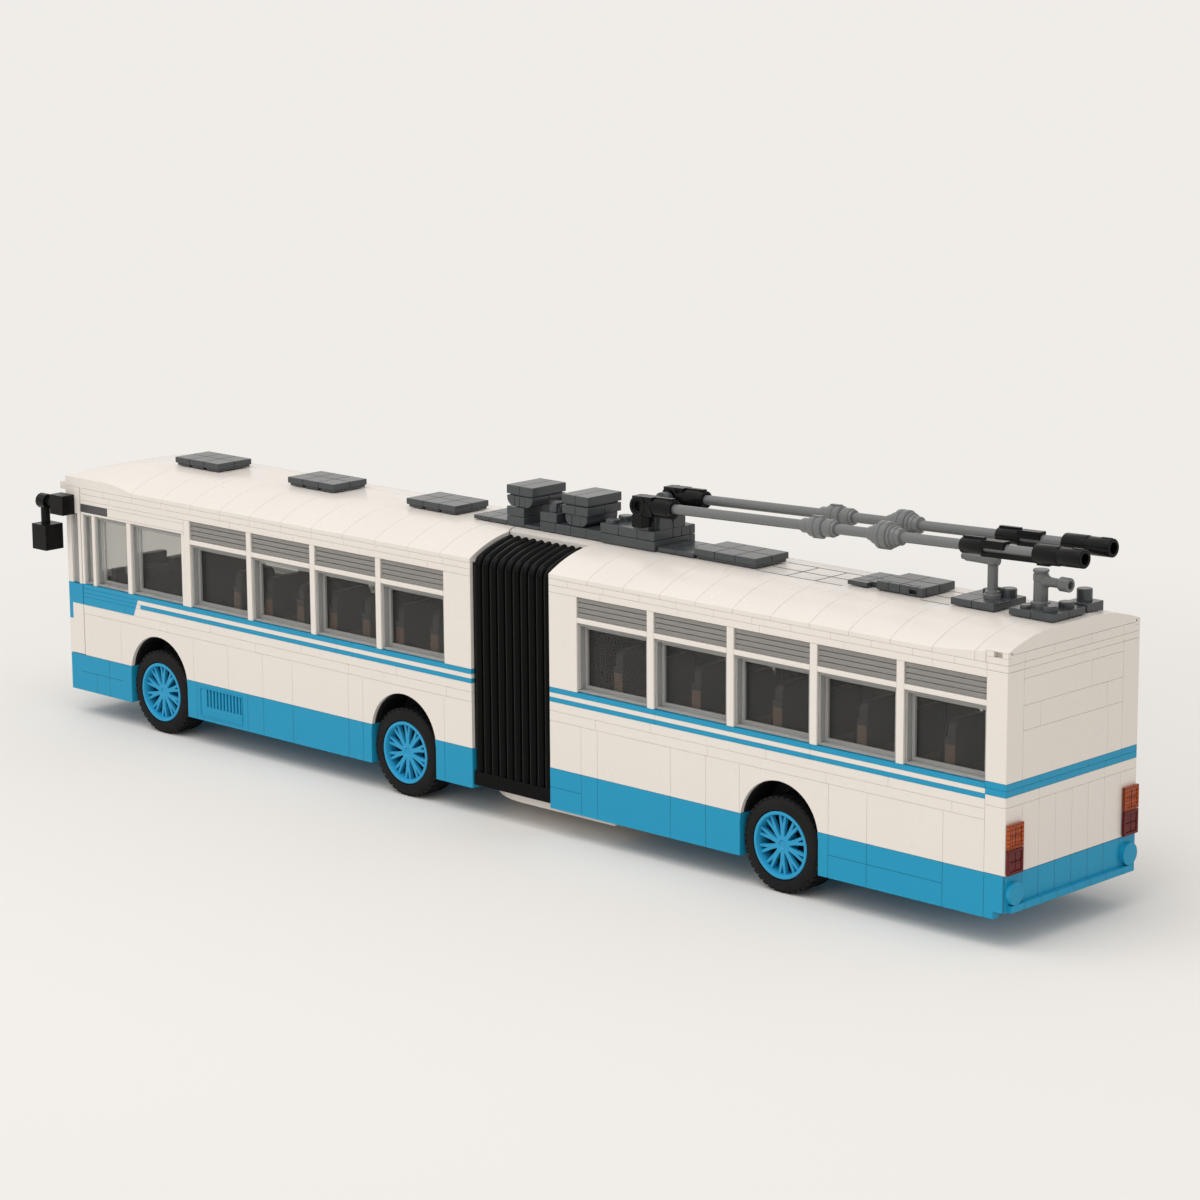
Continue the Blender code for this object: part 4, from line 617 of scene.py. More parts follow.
def sideBricks(car, side, plan):
    # Every course runs along x; doors, windows and wheel arches are left out of it
    own = cars[car]
    start, end = own["ends"]
    doors, windows, cab = openings(car, side)
    slit, cabStart = plan["slit"], plan["cabStart"]
    spans = []

    def course(low, high, seams=(), holes=(), x0=start, x1=end):
        for a, b in stretches(x0, x1, seams, holes):
            spans.append((a + slit, b - slit, plan["inside"], plan["face"], low + slit, high - slit))

    course(livery["skirtTop"], plan["seam"], own["lower"], doors + own["arches"])
    course(plan["seam"], plan["plate"][0], np.arange(start + 12, end, plan["long"]), doors)
    course(*plan["plate"], np.arange(start + 36, end, plan["long"]), doors)
    low, high = livery["stripes"]
    levels = (plan["plate"][1], low[1], *high)
    for foot, top in zip(levels, levels[1:]):
        course(foot, top, own["stripeSeams"], doors)
    paneLow, paneHigh = plan["pane"]
    louvreLow, louvreHigh = plan["louvre"]
    bodyEnd = cabStart if car == "front" else end
    course(paneLow, louvreHigh, (), windows + doors, x1=bodyEnd)
    for x0, x1 in windows:
        course(paneHigh, louvreLow, x0=x0, x1=x1)
    for x0, x1 in doors:
        if x1 < bodyEnd:
            course(plan["doorTop"], louvreHigh, x0=x0, x1=x1)
    if car == "front":
        stripLow, stripHigh = plan["strip"]
        course(paneLow, plan["cabPaneTop"], (), cab + doors, x0=cabStart)
        course(plan["cabPaneTop"], stripLow, (), doors, x0=cabStart)
        course(stripLow, stripHigh, (), doors + [(plan["stripFrom"], end)], x0=cabStart)
        course(stripHigh, louvreHigh, (plan["cabSeam"],), doors, x0=cabStart)
        for x0, x1 in doors[1:]:
            course(plan["doorTop"], louvreHigh, x0=x0, x1=x1)
    course(louvreHigh, plan["header"], np.arange(start + 20, end, 33.4))
    course(plan["header"], plan["top"], own["header"])
    parts = [boxes(spans)]
    for axle, (x0, x1) in zip(own["axles"], own["arches"]):
        parts.append(prism(archBrick(x0 + slit, x1 - slit, axle, plan), "y", plan["inside"], plan["face"]))
    return parts if side > 0 else [mirrored(part) for part in parts]


# The tail's rows, each with its seams: tiles under the blue band, plates in it, long bricks above
tailRows = {
    "rows": (
        (22.6, 42.9, (-24.0, -16.0, -8.0, 0.0, 8.0, 16.0, 24.0)),
        (42.9, 46.0, (-16.0, 16.0)),
        (46.0, 48.0, (-16.2, 7.2, 24.0)),
        (48.0, 50.0, (-24.0, -8.0, 16.0)),
        (50.0, 64.6, (-24.2, -17.0, 24.2)),
        (64.6, 72.1, (-24.2, -16.4, 16.1, 24.2)),
        (72.1, 80.0, (-24.2, -8.5, 24.2)),
        (80.0, 82.9, (-24.2, 24.2)),
        (82.9, 85.0, (-24.0, 0.0, 24.0)),
    ),
    "deep": 4.4,
    "column": (24.25, 50.05, 82.85),
}


def tailBricks(plan, own):
    # The corners above the band are two smooth columns in place of the rows' ends
    slit, face = plan["slit"], plan["face"]
    cornerDeep = livery["tailCorner"] - slit
    inner, foot, top = own["column"]
    spans = []
    for low, high, seams in own["rows"]:
        marks = [-face, *seams, face]
        for a, b in zip(marks, marks[1:]):
            outer = face in (-a, b)
            if not (outer and foot - 0.1 < low < top - 0.1):
                deep = cornerDeep if outer else own["deep"]
                spans.append((0.0, deep, a + slit, b - slit, low + slit, high - slit))
    spans += [(0.0, cornerDeep, side * inner, side * face, foot, top) for side in (-1, 1)]
    return boxes(spans)


for car, ends, nodes in (("rear", [tailBricks(bricks, tailRows)], ("tail_wall",)), ("front", [], ())):
    wall = sideBricks(car, 1, bricks) + sideBricks(car, -1, bricks) + ends
    addPiece(f"wallBricks{car.title()}", wall, "wall", f"{car}_car", "white",
             (f"wall_{car}_left", f"wall_{car}_right", *nodes), bricks["edge"], 1)
sideStrip = (408.25, 423.65, 29.4, 31.9, 76.25, 79.15)
addPiece("sideStripLeft", [boxes([sideStrip])], "stripGrey", "front_car", "grey", (), 0.12)
print("walls laid")


# Roof: curved slope bricks along both sides, tiles between them, and the capped ends
roof = {
    "flat": 8.0,
    "half": 32.0,
    "lip": 86.5,
    "top": 93.2,
    "foot": 85.05,
    "thick": 2.0,
    "tailLift": 2.3, "tailFrom": 3.0, "tailTo": 26.0,
    "noseLift": 2.2, "noseFrom": 394.0, "noseTo": 411.0,
    "crownFall": 3.4, "crownFrom": 399.0, "crownTo": 432.0,
    "slit": 0.055,
    "edge": 0.16,
    "rear": (8.1, 12.1, 27.7, 43.4, 59.2, 74.5, 89.9, 105.3, 120.6, 135.6, 151.2, 166.7, 184.0),
    "front": (220.0, 234.0, 249.9, 265.7, 281.6, 297.5, 313.4, 329.3, 345.2, 361.1, 377.0, 394.0, 432.0),
    "arcSteps": 14,
    "noseCuts": 13,
    "pivot": 202.0,
    "stripFrom": 184.1, "stripRadius": 22.35, "stripHalf": 13.0,
    "endTo": 233.9, "endRadius": 22.8, "endHalf": 13.9, "endInner": 14.0,
}


def cut(x, y, z):
    # One cross-section: a row of points, in which any of x, y and z may be one number for all
    return np.stack(np.broadcast_arrays(x, y, z), axis=1)


def lipHeight(x, plan):
    # The lip rises in a straight line to the tail, and in a curve that flattens out at the nose
    tail = np.clip((plan["tailTo"] - x) / (plan["tailTo"] - plan["tailFrom"]), 0, 1) * plan["tailLift"]
    short = np.clip((plan["noseTo"] - x) / (plan["noseTo"] - plan["noseFrom"]), 0, 1)
    return plan["lip"] + tail + (1 - short ** 2) * plan["noseLift"]


def crownHeight(x, plan):
    # Level along the bus, then curving down over the nose
    share = np.clip((x - plan["crownFrom"]) / (plan["crownTo"] - plan["crownFrom"]), 0, 1)
    return plan["top"] - plan["crownFall"] * share ** 2


def roofHeight(y, x, plan):
    # A circle's arc that is level at the flat middle and falls to the lip at the side
    crown = crownHeight(x, plan)
    run = plan["half"] - plan["flat"]
    rise = crown - lipHeight(x, plan)
    radius = (run * run + rise * rise) / (2 * rise)
    past = np.clip(np.abs(y) - plan["flat"], 0, None)
    return crown - radius + np.sqrt(radius * radius - past * past)


def slopeBrick(x0, x1, inner, side, plan):
    # From the foot up the lip's face and along the arc to the inner edge, at each cut of the brick
    half, foot, thick = plan["half"], plan["foot"], plan["thick"]
    y = np.concatenate([[half], np.linspace(half, inner, plan["arcSteps"])])
    inset = np.concatenate([y[:2] - thick, np.minimum(y[2:], half - thick - 0.05)])
    tops, bottoms = [], []
    for x in np.linspace(x0, x1, plan["noseCuts"] if x1 > plan["noseTo"] else 2):
        top = roofHeight(y, x, plan)
        low = top - thick
        low[:2] = foot, max(low[1], foot + 0.3)
        top[0] = foot
        tops.append(cut(x, side * y, top))
        bottoms.append(cut(x, side * inset, low))
    return slab(np.stack(tops), np.stack(bottoms))


def roofSlopes(car, plan):
    marks, slit = plan[car], plan["slit"]
    parts = []
    for index, (a, b) in enumerate(zip(marks, marks[1:])):
        inner = plan["flat"] + slit
        if car == "front" and index == 0:
            inner = plan["endInner"]
        elif b > plan["noseTo"]:
            inner = slit
        parts += [slopeBrick(a + slit, b - slit, inner, side, plan) for side in (-1, 1)]
    return parts


def middleTiles(marks, plan):
    slit, flat, top = plan["slit"], plan["flat"], plan["top"]
    return boxes([
        (a + slit, b - slit, low + slit, low + flat - slit, top - plan["thick"], top - 0.02)
        for a, b in zip(marks, marks[1:]) for low in (-flat, 0.0)
    ])


def aboutPivot(radius):
    return lambda y: roof["pivot"] + np.sqrt(radius ** 2 - y ** 2)


def gangwayStrip(half, ends, plan):
    # A plate whose ends may follow an arc about the pivot; its top follows the roof's own section
    y = np.linspace(-half, half, 27)
    ends = [end(y) if callable(end) else end for end in ends]
    foot = plan["top"] - plan["thick"] - 0.2
    tops = np.stack([cut(x, y, roofHeight(y, x, plan)) for x in ends])
    return slab(tops, np.stack([cut(x, y, foot) for x in ends]))


# The roof's ends: a lens with two small slots over the tail wall, and the plate and visor at the nose
roofEnds = {
    "tailX": (0.0, 8.0),
    "slotY": (30.5, 30.6), "slotTop": 87.95,
    "tiles": (-24.0, -8.0, 10.0, 24.0), "tileDeep": 4.0,
    "corner": (24.05, 30.0), "cornerDeep": 7.95,
    "tileTop": 87.85, "sill": 86.9,
    "posts": ((0.0, 2.1), (5.2, 7.95)),
    "noseX": (430.2, 431.9), "noseHalf": 29.5, "noseFoot": 85.6, "noseSink": 0.4,
    "visor": (430.0, 435.9, -31.4, 31.4, 83.4, 86.2),
}


def tailCap(plan, own):
    half, foot, top = plan["half"], plan["foot"], own["tileTop"]
    lift = plan["lip"] + plan["tailLift"]
    inner, outer = own["slotY"]
    runs = (-half, -outer, 4), (-inner, inner, 45), (outer, half, 4)
    y = np.concatenate([np.linspace(*run) for run in runs])
    z = roofHeight(y, 0.0, plan)
    low = np.where(np.abs(y) > (inner + outer) / 2, lift - 0.1, own["slotTop"])
    lens = slab(*(np.stack([cut(x, y, level) for x in own["tailX"]]) for level in (z, low)))
    tiles, deep = own["tiles"], own["tileDeep"]
    spans = [(0.0, deep, a + 0.05, b - 0.05, foot, top) for a, b in zip(tiles, tiles[1:])]
    y0, y1 = own["corner"]
    for side in (-1, 1):
        spans.append((0.0, own["cornerDeep"], side * y0, side * y1, foot, top))
        spans.append((0.0, own["cornerDeep"], side * y1, side * half, foot, own["sill"]))
        spans += [(*post, side * y1, side * half, own["sill"] + 0.05, lift - 0.15) for post in own["posts"]]
    return [lens, boxes(spans)]


def noseCap(plan, own):
    y = np.linspace(-own["noseHalf"], own["noseHalf"], 41)
    z = roofHeight(y, plan["crownTo"], plan) - own["noseSink"]
    plate = slab(*(np.stack([cut(x, y, level) for x in own["noseX"]]) for level in (z, own["noseFoot"])))
    return [plate, boxes([own["visor"]])]


roofs = {
    "rear": roofSlopes("rear", roof) + tailCap(roof, roofEnds) + [
        middleTiles(roof["rear"], roof),
        gangwayStrip(roof["stripHalf"], (roof["stripFrom"], aboutPivot(roof["stripRadius"])), roof)],
    "front": roofSlopes("front", roof) + noseCap(roof, roofEnds) + [
        middleTiles(roof["front"][1:-1], roof),
        gangwayStrip(roof["endHalf"], (aboutPivot(roof["endRadius"]), roof["endTo"]), roof)],
}
for car, parts in roofs.items():
    addPiece(f"roofBricks{car.title()}", parts, "white", f"{car}_car", "white", (f"roof_{car}",),
             roof["edge"], 2, 25)
print("roofs laid")


# Windows: a clear box frame in each opening with its pane at the back, and slatted vents above
panes = {
    "clear": 0.15,
    "outerRing": (28.3, 31.3, 0.8),
    "innerRing": (28.3, 29.3, 1.15), "inset": 0.85,
    "sheet": (27.7, 28.25),
    "slats": 4,
    "slatFace": (29.9, 31.55),
    "slatSlit": 0.1,  # half the slit
}


def ring(x0, x1, z0, z1, y0, y1, wide):
    return [(x0, x1, y0, y1, z0, z0 + wide), (x0, x1, y0, y1, z1 - wide, z1),
            (x0, x0 + wide, y0, y1, z0 + wide, z1 - wide), (x1 - wide, x1, y0, y1, z0 + wide, z1 - wide)]


def windowPanels(car, side, plan):
    _, windows, cab = openings(car, side)
    gap, inset, slit = plan["clear"], plan["inset"], plan["slatSlit"]
    paneLow, paneHigh = bricks["pane"]
    clear, slats = [], []
    for (x0, x1), top in [(w, paneHigh) for w in windows] + [(w, bricks["cabPaneTop"]) for w in cab]:
        x0, x1, low, high = x0 + gap, x1 - gap, paneLow + gap, top - gap
        clear += ring(x0, x1, low, high, *plan["outerRing"])
        clear += ring(x0 + inset, x1 - inset, low + inset, high - inset, *plan["innerRing"])
        clear.append((x0, x1, *plan["sheet"], low, high))
    low, high = bricks["louvre"]
    pitch = (high - low) / plan["slats"]
    for x0, x1 in windows:
        x0, x1 = x0 + gap, x1 - gap
        for foot in low + pitch * np.arange(plan["slats"]):
            slats.append((x0, x1, *plan["slatFace"], foot + slit, foot + pitch - slit))
        slats.append((x0, x1, *plan["sheet"], low, high))
    made = [boxes(clear)], [boxes(slats)]
    return made if side > 0 else tuple([mirrored(part) for part in parts] for parts in made)


for car in ("rear", "front"):
    left, right = windowPanels(car, 1, panes), windowPanels(car, -1, panes)
    addPiece(f"windowPanels{car.title()}", left[0] + right[0], "clear", f"{car}_car", "clear",
             (f"glazing_{car}_left", f"glazing_{car}_right"), 0.1, 1)
    addPiece(f"ventSlats{car.title()}", left[1] + right[1], "louvre", f"{car}_car", "clear", (), 0.12, 1)
print("windows glazed")


# The louvre in the left skirt: its slots are closed at the foot, inside a raised outline
louvreBox = {
    "x": (335.9, 358.8), "z": (10.5, 21.2),
    "rib": 0.4,
    "face": 31.9, "out": 32.25,
    "slots": (336.2, 357.9), "slotFoot": 14.3,
    "fillBack": 30.7, "fillFace": 31.99,
}


def skirtLouvre(plan):
    (x0, x1), (low, high) = plan["x"], plan["z"]
    rib, proud = plan["rib"], (plan["face"], plan["out"])
    rows = [(x0, x1, *proud, z, z + rib) for z in (low, high - rib)]
    rows += [(x, x + rib, *proud, low + rib, high - rib) for x in (x0, x1 - rib)]
    rows.append((*plan["slots"], plan["fillBack"], plan["fillFace"], low + rib, plan["slotFoot"]))
    return boxes(rows)


addPiece("skirtLouvre", [skirtLouvre(louvreBox)], "skirt", "front_car", "blue")
print("louvre framed")


# Bellows: a row of rounded hoops swept over an arch that steps down under the gangway roof
hoops = {
    "start": 184.35, "end": 219.65,
    "count": 10,
    "perHoop": 9,
    "depth": 1.7,
    "thick": 0.8,
    "fullness": 0.45,  # a power below one flattens each hoop's half sine
    "face": 31.4,
    "foot": 10.4,
    "shoulder": 83.6,
    "riser": 14.3,
    "under": 90.2,
    "sink": 0.35,
    "barHeight": 4.6, "barDepth": 2.6,
}


def archPath(plan):
    # Points (y, z) up one side, over the roof's arc with a rounded shoulder, down to the gangway, and back
    face, riser, under = plan["face"], plan["riser"], plan["under"]
    side = np.stack([np.full(20, face), np.linspace(plan["foot"], plan["shoulder"], 20)], axis=1)
    y = np.linspace(face - 2.2, riser + 0.6, 22)
    over = np.stack([y, roofHeight(y, roof["pivot"], roof) - plan["sink"]], axis=1)
    turn = np.linspace(0, 1, 7)[1:-1, None]
    corner = np.array([face, roofHeight(face, roof["pivot"], roof) - 0.6])
    shoulder = (1 - turn) ** 2 * side[-1] + 2 * turn * (1 - turn) * corner + turn ** 2 * over[0]
    down = np.array([(riser, over[-1, 1] - 0.8), (riser, under + 0.5)])
    level = np.stack([np.linspace(riser - 0.8, 0, 6), np.full(6, under)], axis=1)
    half = np.concatenate([side, shoulder, over, down, level])
    return np.concatenate([half, half[-2::-1] * (-1, 1)])


def bellowsSkin(plan):
    # Outside, a wave along the bus at every point of the path; inside, a plain sleeve
    path = archPath(plan)
    along = np.gradient(path, axis=0)
    along /= np.linalg.norm(along, axis=1)[:, None]
    outward = np.stack([along[:, 1], -along[:, 0]], axis=1)
    share = np.linspace(0, plan["count"], plan["count"] * plan["perHoop"] + 1)
    wave = np.abs(np.sin(np.pi * share)) ** plan["fullness"] * plan["depth"] - plan["depth"]
    x = plan["start"] + (plan["end"] - plan["start"]) * share / plan["count"]
    sleeve = np.full(len(x), -plan["depth"] - plan["thick"])

    def skin(out):
        places = path[None] + out[:, None, None] * outward[None]
        return np.concatenate([np.broadcast_to(x[:, None, None], (*places.shape[:2], 1)), places], axis=2)

    return slab(skin(wave), skin(sleeve))


def footBars(plan):
    # A flat bar along the foot of the hoops on each side, in as many lengths as there are hoops
    ends = np.linspace(plan["start"], plan["end"], plan["count"] + 1)
    low, high = plan["foot"] - 0.1, plan["foot"] + plan["barHeight"]
    face = plan["face"] + 0.05
    return boxes([(x0, x1, side * (face - plan["barDepth"]), side * face, low, high)
                  for x0, x1 in zip(ends, ends[1:]) for side in (1, -1)])


bellows = addPiece("bellowsHoops", [bellowsSkin(hoops), footBars(hoops)], "bellows", None, "black",
                   ("bellows",), smooth=50)
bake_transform(bellows)
print("bellows hung")


# Plates, tiles and studs on the roof
deckPlan = {
    "foot": 93.5,
    "first": 96.7,
    "second": 99.9,
    "edge": 0.2,
    "slit": 0.07,
}
hubX = {1: 164.0, -1: 167.5}


def stud(x, y, z, radius=2.4, height=1.7):
    # A short cylinder with a small chamfer, bedded 0.3 into what it stands on
    profile = [(-0.3, radius), (height - 0.22, radius), (height, radius - 0.22)]
    return lathe(profile, (x, y, z), (0, 0, 1), 28)


def tiled(x0, x1, y0, y1, z0, z1, alongX=(), alongY=()):
    # One layer of plates split at the given places, with fine slits
    slit = deckPlan["slit"]
    xs, ys = [x0, *alongX, x1], [y0, *alongY, y1]
    return [
        (a + slit, b - slit, c + slit, d - slit, z0 + slit, z1 - slit)
        for a, b in zip(xs, xs[1:]) for c, d in zip(ys, ys[1:])
    ]


def layers(*rows):
    return [box for row in rows for box in tiled(*row)]


def hollowSlope(x0, x1, y0, y1, low, high, lip=0.7):
    # An inverted slope: a quarter wave from its outer top edge down and inwards to its foot
    turn = np.linspace(0, np.pi / 2, 10)
    x = x0 + (x1 - x0) * (1 - np.cos(turn))
    z = high - lip - (high - lip - low) * np.sin(turn)
    return prism(np.concatenate([np.stack([x, z], axis=1), [(x1, high), (x0, high)]]), "y", y0, y1)


def domed(foot, rim, start, rise, radius):
    # The profile of a low dome on a short rim
    bulge = np.linspace(0, np.pi / 2, 8)
    return [(foot, rim), *np.stack([start + rise * np.sin(bulge), radius * np.cos(bulge) + 0.05], axis=1)]


def roofDeck(plan):
    foot, first, second = plan["foot"], plan["first"], plan["second"]
    stackFoot, stackTop = 100.0, 103.6
    spans = layers(
        (183.5, 211.5, -8, 8, foot, first, (190.5, 197.5, 204.5), (0,)),
        (203.8, 211.4, -8, 8, first, second, (), (0,)),
        (211.6, 218.7, -8, 8, foot, 94.5),
        (218.8, 226.9, -8, 8, foot, first, (), (0,)),
        (218.8, 226.9, -8, 8, first, second, (), (0,)),
        (226.95, 242.6, -8, 8, foot, 95.0, (235.0,), (0,)),
    )
    # Capped stacks: split cap, slab, and inverted slopes below it
    for x0, x1 in ((189.3, 201.4), (214.7, 226.9)):
        spans += tiled(x0, x1, -8, 8, 104.0, 107.1, ((x0 + x1) / 2,))
        spans.append((x0 + 1.0, x1 - 1.0, -7.2, 7.2, 103.5, 104.1))
    spans += layers(
        (189.5, 201.3, -8, 8, 100.6, stackTop, (195.4,), (0,)),
        (193.6, 197.6, -7.2, 7.2, first, 100.7),
        (218.4, 223.4, -7.9, 7.9, stackFoot, stackTop, (221.0,), (0,)),
    )
    parts = [boxes(spans)]
    for y0, y1 in ((-7.9, -0.1), (0.1, 7.9)):
        parts += [hollowSlope(x0, x1, y0, y1, stackFoot, stackTop)
                  for x0, x1 in ((214.9, 218.4), (226.7, 223.4))]
        parts += [hollowSlope(x0, x1, y0 * 0.92, y1 * 0.92, 96.8, 100.5, 1.2)
                  for x0, x1 in ((190.6, 193.6), (200.4, 197.6))]
    parts.append(boxes([(205.4, 207.6, 1.0, 6.4, 99.8, 103.0)]))
    parts.append(lathe(domed(-0.3, 2.95, 0.8, 2.6, 2.9), (207.6, 3.6, second), (0, 0, 1), 28))
    return parts + [stud(222.8, y, 99.8, 2.3, 0.5) for y in (-4, 4)]


def poleBase(plan):
    first, second = plan["first"], plan["second"]
    x0, x1 = 159.1, 183.1
    parts = [boxes(layers(
        (x0, x1, -10.5, 9.0, plan["foot"], first, (), (-8.0,)),
        (x0 + 0.1, x1, 0.0, 9.0, first, second, (166.8, 175.0)),
        (x0, x1 - 0.2, -10.5, 0.0, first, second, (167.0,), (-8.0, -4.0)),
    ))]
    parts += [stud(180.0, 0.0, 99.8), stud(180.0, 6.2, 99.8, 2.3, 1.4), stud(163.5, 0.0, 99.8, 4.0, 2.2)]
    # On the inner side of each hub a rounded ear with its pin, then a block and a quarter-round slope
    turn = np.linspace(0, np.pi, 15)
    for side, x in hubX.items():
        arch = np.stack([x + 3.0 * np.cos(turn), 107.0 + 3.0 * np.sin(turn)], axis=1)
        outline = np.concatenate([arch, [(x - 3.0, 99.7), (x + 3.0, 99.7)]])
        parts.append(prism(outline, "y", *sorted((side * 3.3, side * 6.3))))
        parts.append(lathe([(0, 1.45), (4.2, 1.45)], (x, side * 4.5, 108.0), (0, side, 0), 24))
        parts.append(boxes([(159.3, 162.0, side * 0.4, side * 6.0, 99.8, 103.9)]))
        rise = np.stack([162.0 + 6.6 * np.sin(turn / 2), 99.8 + 2.4 * np.cos(turn / 2)], axis=1)
        parts.append(prism(np.concatenate([rise, [(162.0, 99.8)]]), "y", *sorted((side * 3.4, side * 8.8))))
    return parts


def roofHatch(x0, x1, plan, half=8.0, top=96.5):
    # An upper slab of tiles over a smaller foot, so a dark line runs under its rim
    foot, step = plan["foot"], (x1 - x0) / 3
    spans = tiled(x0, x1, -half, half, foot + 0.75, top, np.linspace(x0, x1, 4)[1:-1], (0.0,))
    for a in x0 + 0.5 + step * np.arange(3):
        spans.append((a, a + step - 1.4, 0.5 - half, half - 0.5, foot, foot + 0.85))
    return boxes(spans)


def poleSideHatch(plan):
    foot = plan["foot"]
    return boxes(layers(
        (117.1, 143.1, -8, 8, foot + 0.9, plan["first"], (125.8, 134.4), (0,)),
    ) + [(117.7, 142.4, -7.4, 7.4, foot, foot + 1.0)] + layers(
        (143.15, 158.8, -8, 8, foot, 95.0, (151.0,), (0,)),
    ))


def tailSideHatch(plan):
    # Two levels of tiles with slots left in their near faces
    foot, top, low = plan["foot"], 96.3, 95.0
    return boxes(layers(
        (52.0, 70.0, -9.5, 4.4, foot, top, (61.0,), (-2.0,)),
        (52.0, 54.6, 4.4, 6.2, foot, top),
        (57.4, 61.0, 4.4, 6.2, foot, top),
        (61.0, 70.0, 4.4, 6.2, foot, top, (65.5,)),
    ) + [(54.6, 57.4, 4.4, 6.13, 95.2, 96.23), (54.6, 57.4, 4.4, 6.13, foot, 94.0)] + layers(
        (70.05, 81.5, -9.5, 3.6, foot, low, (75.5,), (-2.0,)),
        (73.6, 81.5, 3.6, 6.2, foot, low),
    ))


# The joints of the roof's flat tiles show as dark lines on either side of the tail hatch
joints = {
    "wide": 0.16,
    "z": (93.0, 93.26),
    "y": (-7.9, 0.0, 7.9),
    "x": (93.0, 104.5),
    "ends": ((82.0, 116.9), (40.6, 51.6)),
}


def tileJoints(plan):
    wide, y = plan["wide"], plan["y"]
    rows = [(x0, x1, place - wide, place + wide, *plan["z"]) for x0, x1 in plan["ends"] for place in y]
    rows += [(x - wide, x + wide, y[0], y[-1], *plan["z"]) for x in plan["x"]]
    return boxes(rows)


def addPlates(name, parts, body, node, smooth=None):
    addPiece(name, parts, "grey", body, "grey", (node,), deckPlan["edge"], 2, smooth)


addPlates("roofDeckPlates", roofDeck(deckPlan), "rear_car", "roof_deck", 35)
addPlates("poleBasePlates", poleBase(deckPlan), "rear_car", "pole_base", 35)
clips = [(x - 2.2, x + 2.4, side * 7.1, side * 11.9, 101.0, 105.2) for side, x in hubX.items()]
addPiece("hubClips", [boxes(clips)], "black", "rear_car", "black", (), 0.3)
frontHatches = {"hatch_front": (374.0, 398.0), "hatch_middle": (312.4, 336.4), "hatch_back": (251.5, 275.5)}
for node, (x0, x1) in frontHatches.items():
    addPlates(node.replace("_", "") + "Tiles", [roofHatch(x0, x1, deckPlan)], "front_car", node)
addPiece("tileJoints", [tileJoints(joints)], "stripGrey", "rear_car", "grey")
addPlates("hatchPoleSideTiles", [poleSideHatch(deckPlan)], "rear_car", "hatch_pole_side")
addPlates("hatchTailSideTiles", [tailSideHatch(deckPlan)], "rear_car", "hatch_tail_side")
print("roof plates laid")


# Pole rests: dark plates with studs, and lighter posts with a bar and a spigot along the bus
rests = {
    "top": 95.8,
    "bed": 95.7,  # where studs start, just inside the plates
    "frontPost": 30.6, "frontTop": 107.8, "barZ": 106.9,
    "rearPost": 12.9, "rearTop": 106.7, "spigotZ": 103.3,
    "wing": (3.6, 11.6), "wingY": (-18.4, -10.3),
}


def restPlates(plan):
    foot, top, bed = deckPlan["foot"], plan["top"], plan["bed"]
    front = [
        boxes(tiled(24.0, 40.2, -8, 8, foot, top, (32.3,), (0,))),
        stud(27.5, -4.0, bed, 2.4, 2.7),
        stud(plan["frontPost"] + 6, -5.4, bed, 1.5, 1.1),
    ]
    # A wing of the rear plate reaches out over the roof's slope
    y = np.linspace(*plan["wingY"], 9)
    under = roofHeight(y, 7.6, roof) + 0.3
    rear = [
        boxes(tiled(2.4, 18.6, -8, 8, foot, top, (10.6,), (0,))
              + [(4.6, 8.6, -11.2, -7.9, foot, foot + 1.5)]),
        stud(6.5, -4.0, bed),
        stud(6.5, 4.0, bed),
        stud(14.5, 5.0, bed, 1.7, 1.0),
        slab(*(np.stack([cut(x, y, level) for x in plan["wing"]]) for level in (top, under))),
        stud(7.6, -14.35, bed, 2.4, 3.9),
    ]
    return front, rear


def restPosts(plan):
    top, rise = plan["top"], (0, 0, 1)
    x, tall = plan["frontPost"], plan["frontTop"] - plan["top"]
    front = [
        lathe([(-0.6, 2.7), (1.0, 2.7), (1.2, 2.3), (1.9, 2.3), (2.1, 1.6), (tall - 2.2, 1.6),
               (tall - 2.0, 1.9), (tall, 1.9)], (x, 0, top), rise, 28),
        lathe([(0, 1.3), (0.2, 1.45), (12.0, 1.45), (12.0, 1.1), (13.4, 1.1)],
              (x - 2.1, 0, plan["barZ"]), (1, 0, 0), 24),
        boxes([(x - 2.6, x + 2.6, -3.4, -2.2, plan["bed"], top + 2.6)]),
    ]
    x, tall = plan["rearPost"], plan["rearTop"] - plan["top"]
    rear = [
        lathe([(-0.6, 2.9), (1.2, 2.9), (1.4, 2.2), (tall - 3.4, 2.2), (tall - 3.2, 2.35),
               (tall - 1.4, 2.35), (tall - 1.2, 2.1), (tall - 0.9, 2.1), (tall - 0.7, 2.45), (tall, 2.45)],
              (x, 0, top), rise, 28),
        lathe([(0, 1.9), (2.6, 1.9), (2.9, 1.5), (6.2, 1.4), (7.2, 2.0), (7.4, 2.15), (10.6, 2.15),
               (10.8, 1.9), (10.8, 1.25), (8.6, 1.25)], (x, 0, plan["spigotZ"]), (-1, 0, 0), 24),
    ]
    return front, rear


for end, plates, posts in zip(("front", "rear"), restPlates(rests), restPosts(rests)):
    title, node = f"rest{end.title()}", f"rest_{end}"
    addPiece(f"{title}Plates", plates, "grey", "rear_car", "light_grey", (node,), 0.2, 2, 35)
    addPiece(f"{title}Post", posts, "lightGrey", "rear_car", "light_grey", (), 0.12, 2, 35)
print("pole rests built")


# Poles: each is drawn along its own tilted line from the hub back to the head
poles = {
    "hub": {"left": (hubX[1], 9.3), "right": (hubX[-1], -9.3)},
    "z": 108.0,
    "pitch": math.radians(2.0),
    "reach": 173.7,
    "radius": 1.6,
    "barTo": 162.0,
    "coupling": {"left": 67.3, "right": 62.3},
    "flange": {"left": 93.7, "right": 89.2},
    "clip": {"left": 129.5, "right": 132.0},
    "head": 156.4,
    "discInset": 2.5,
}
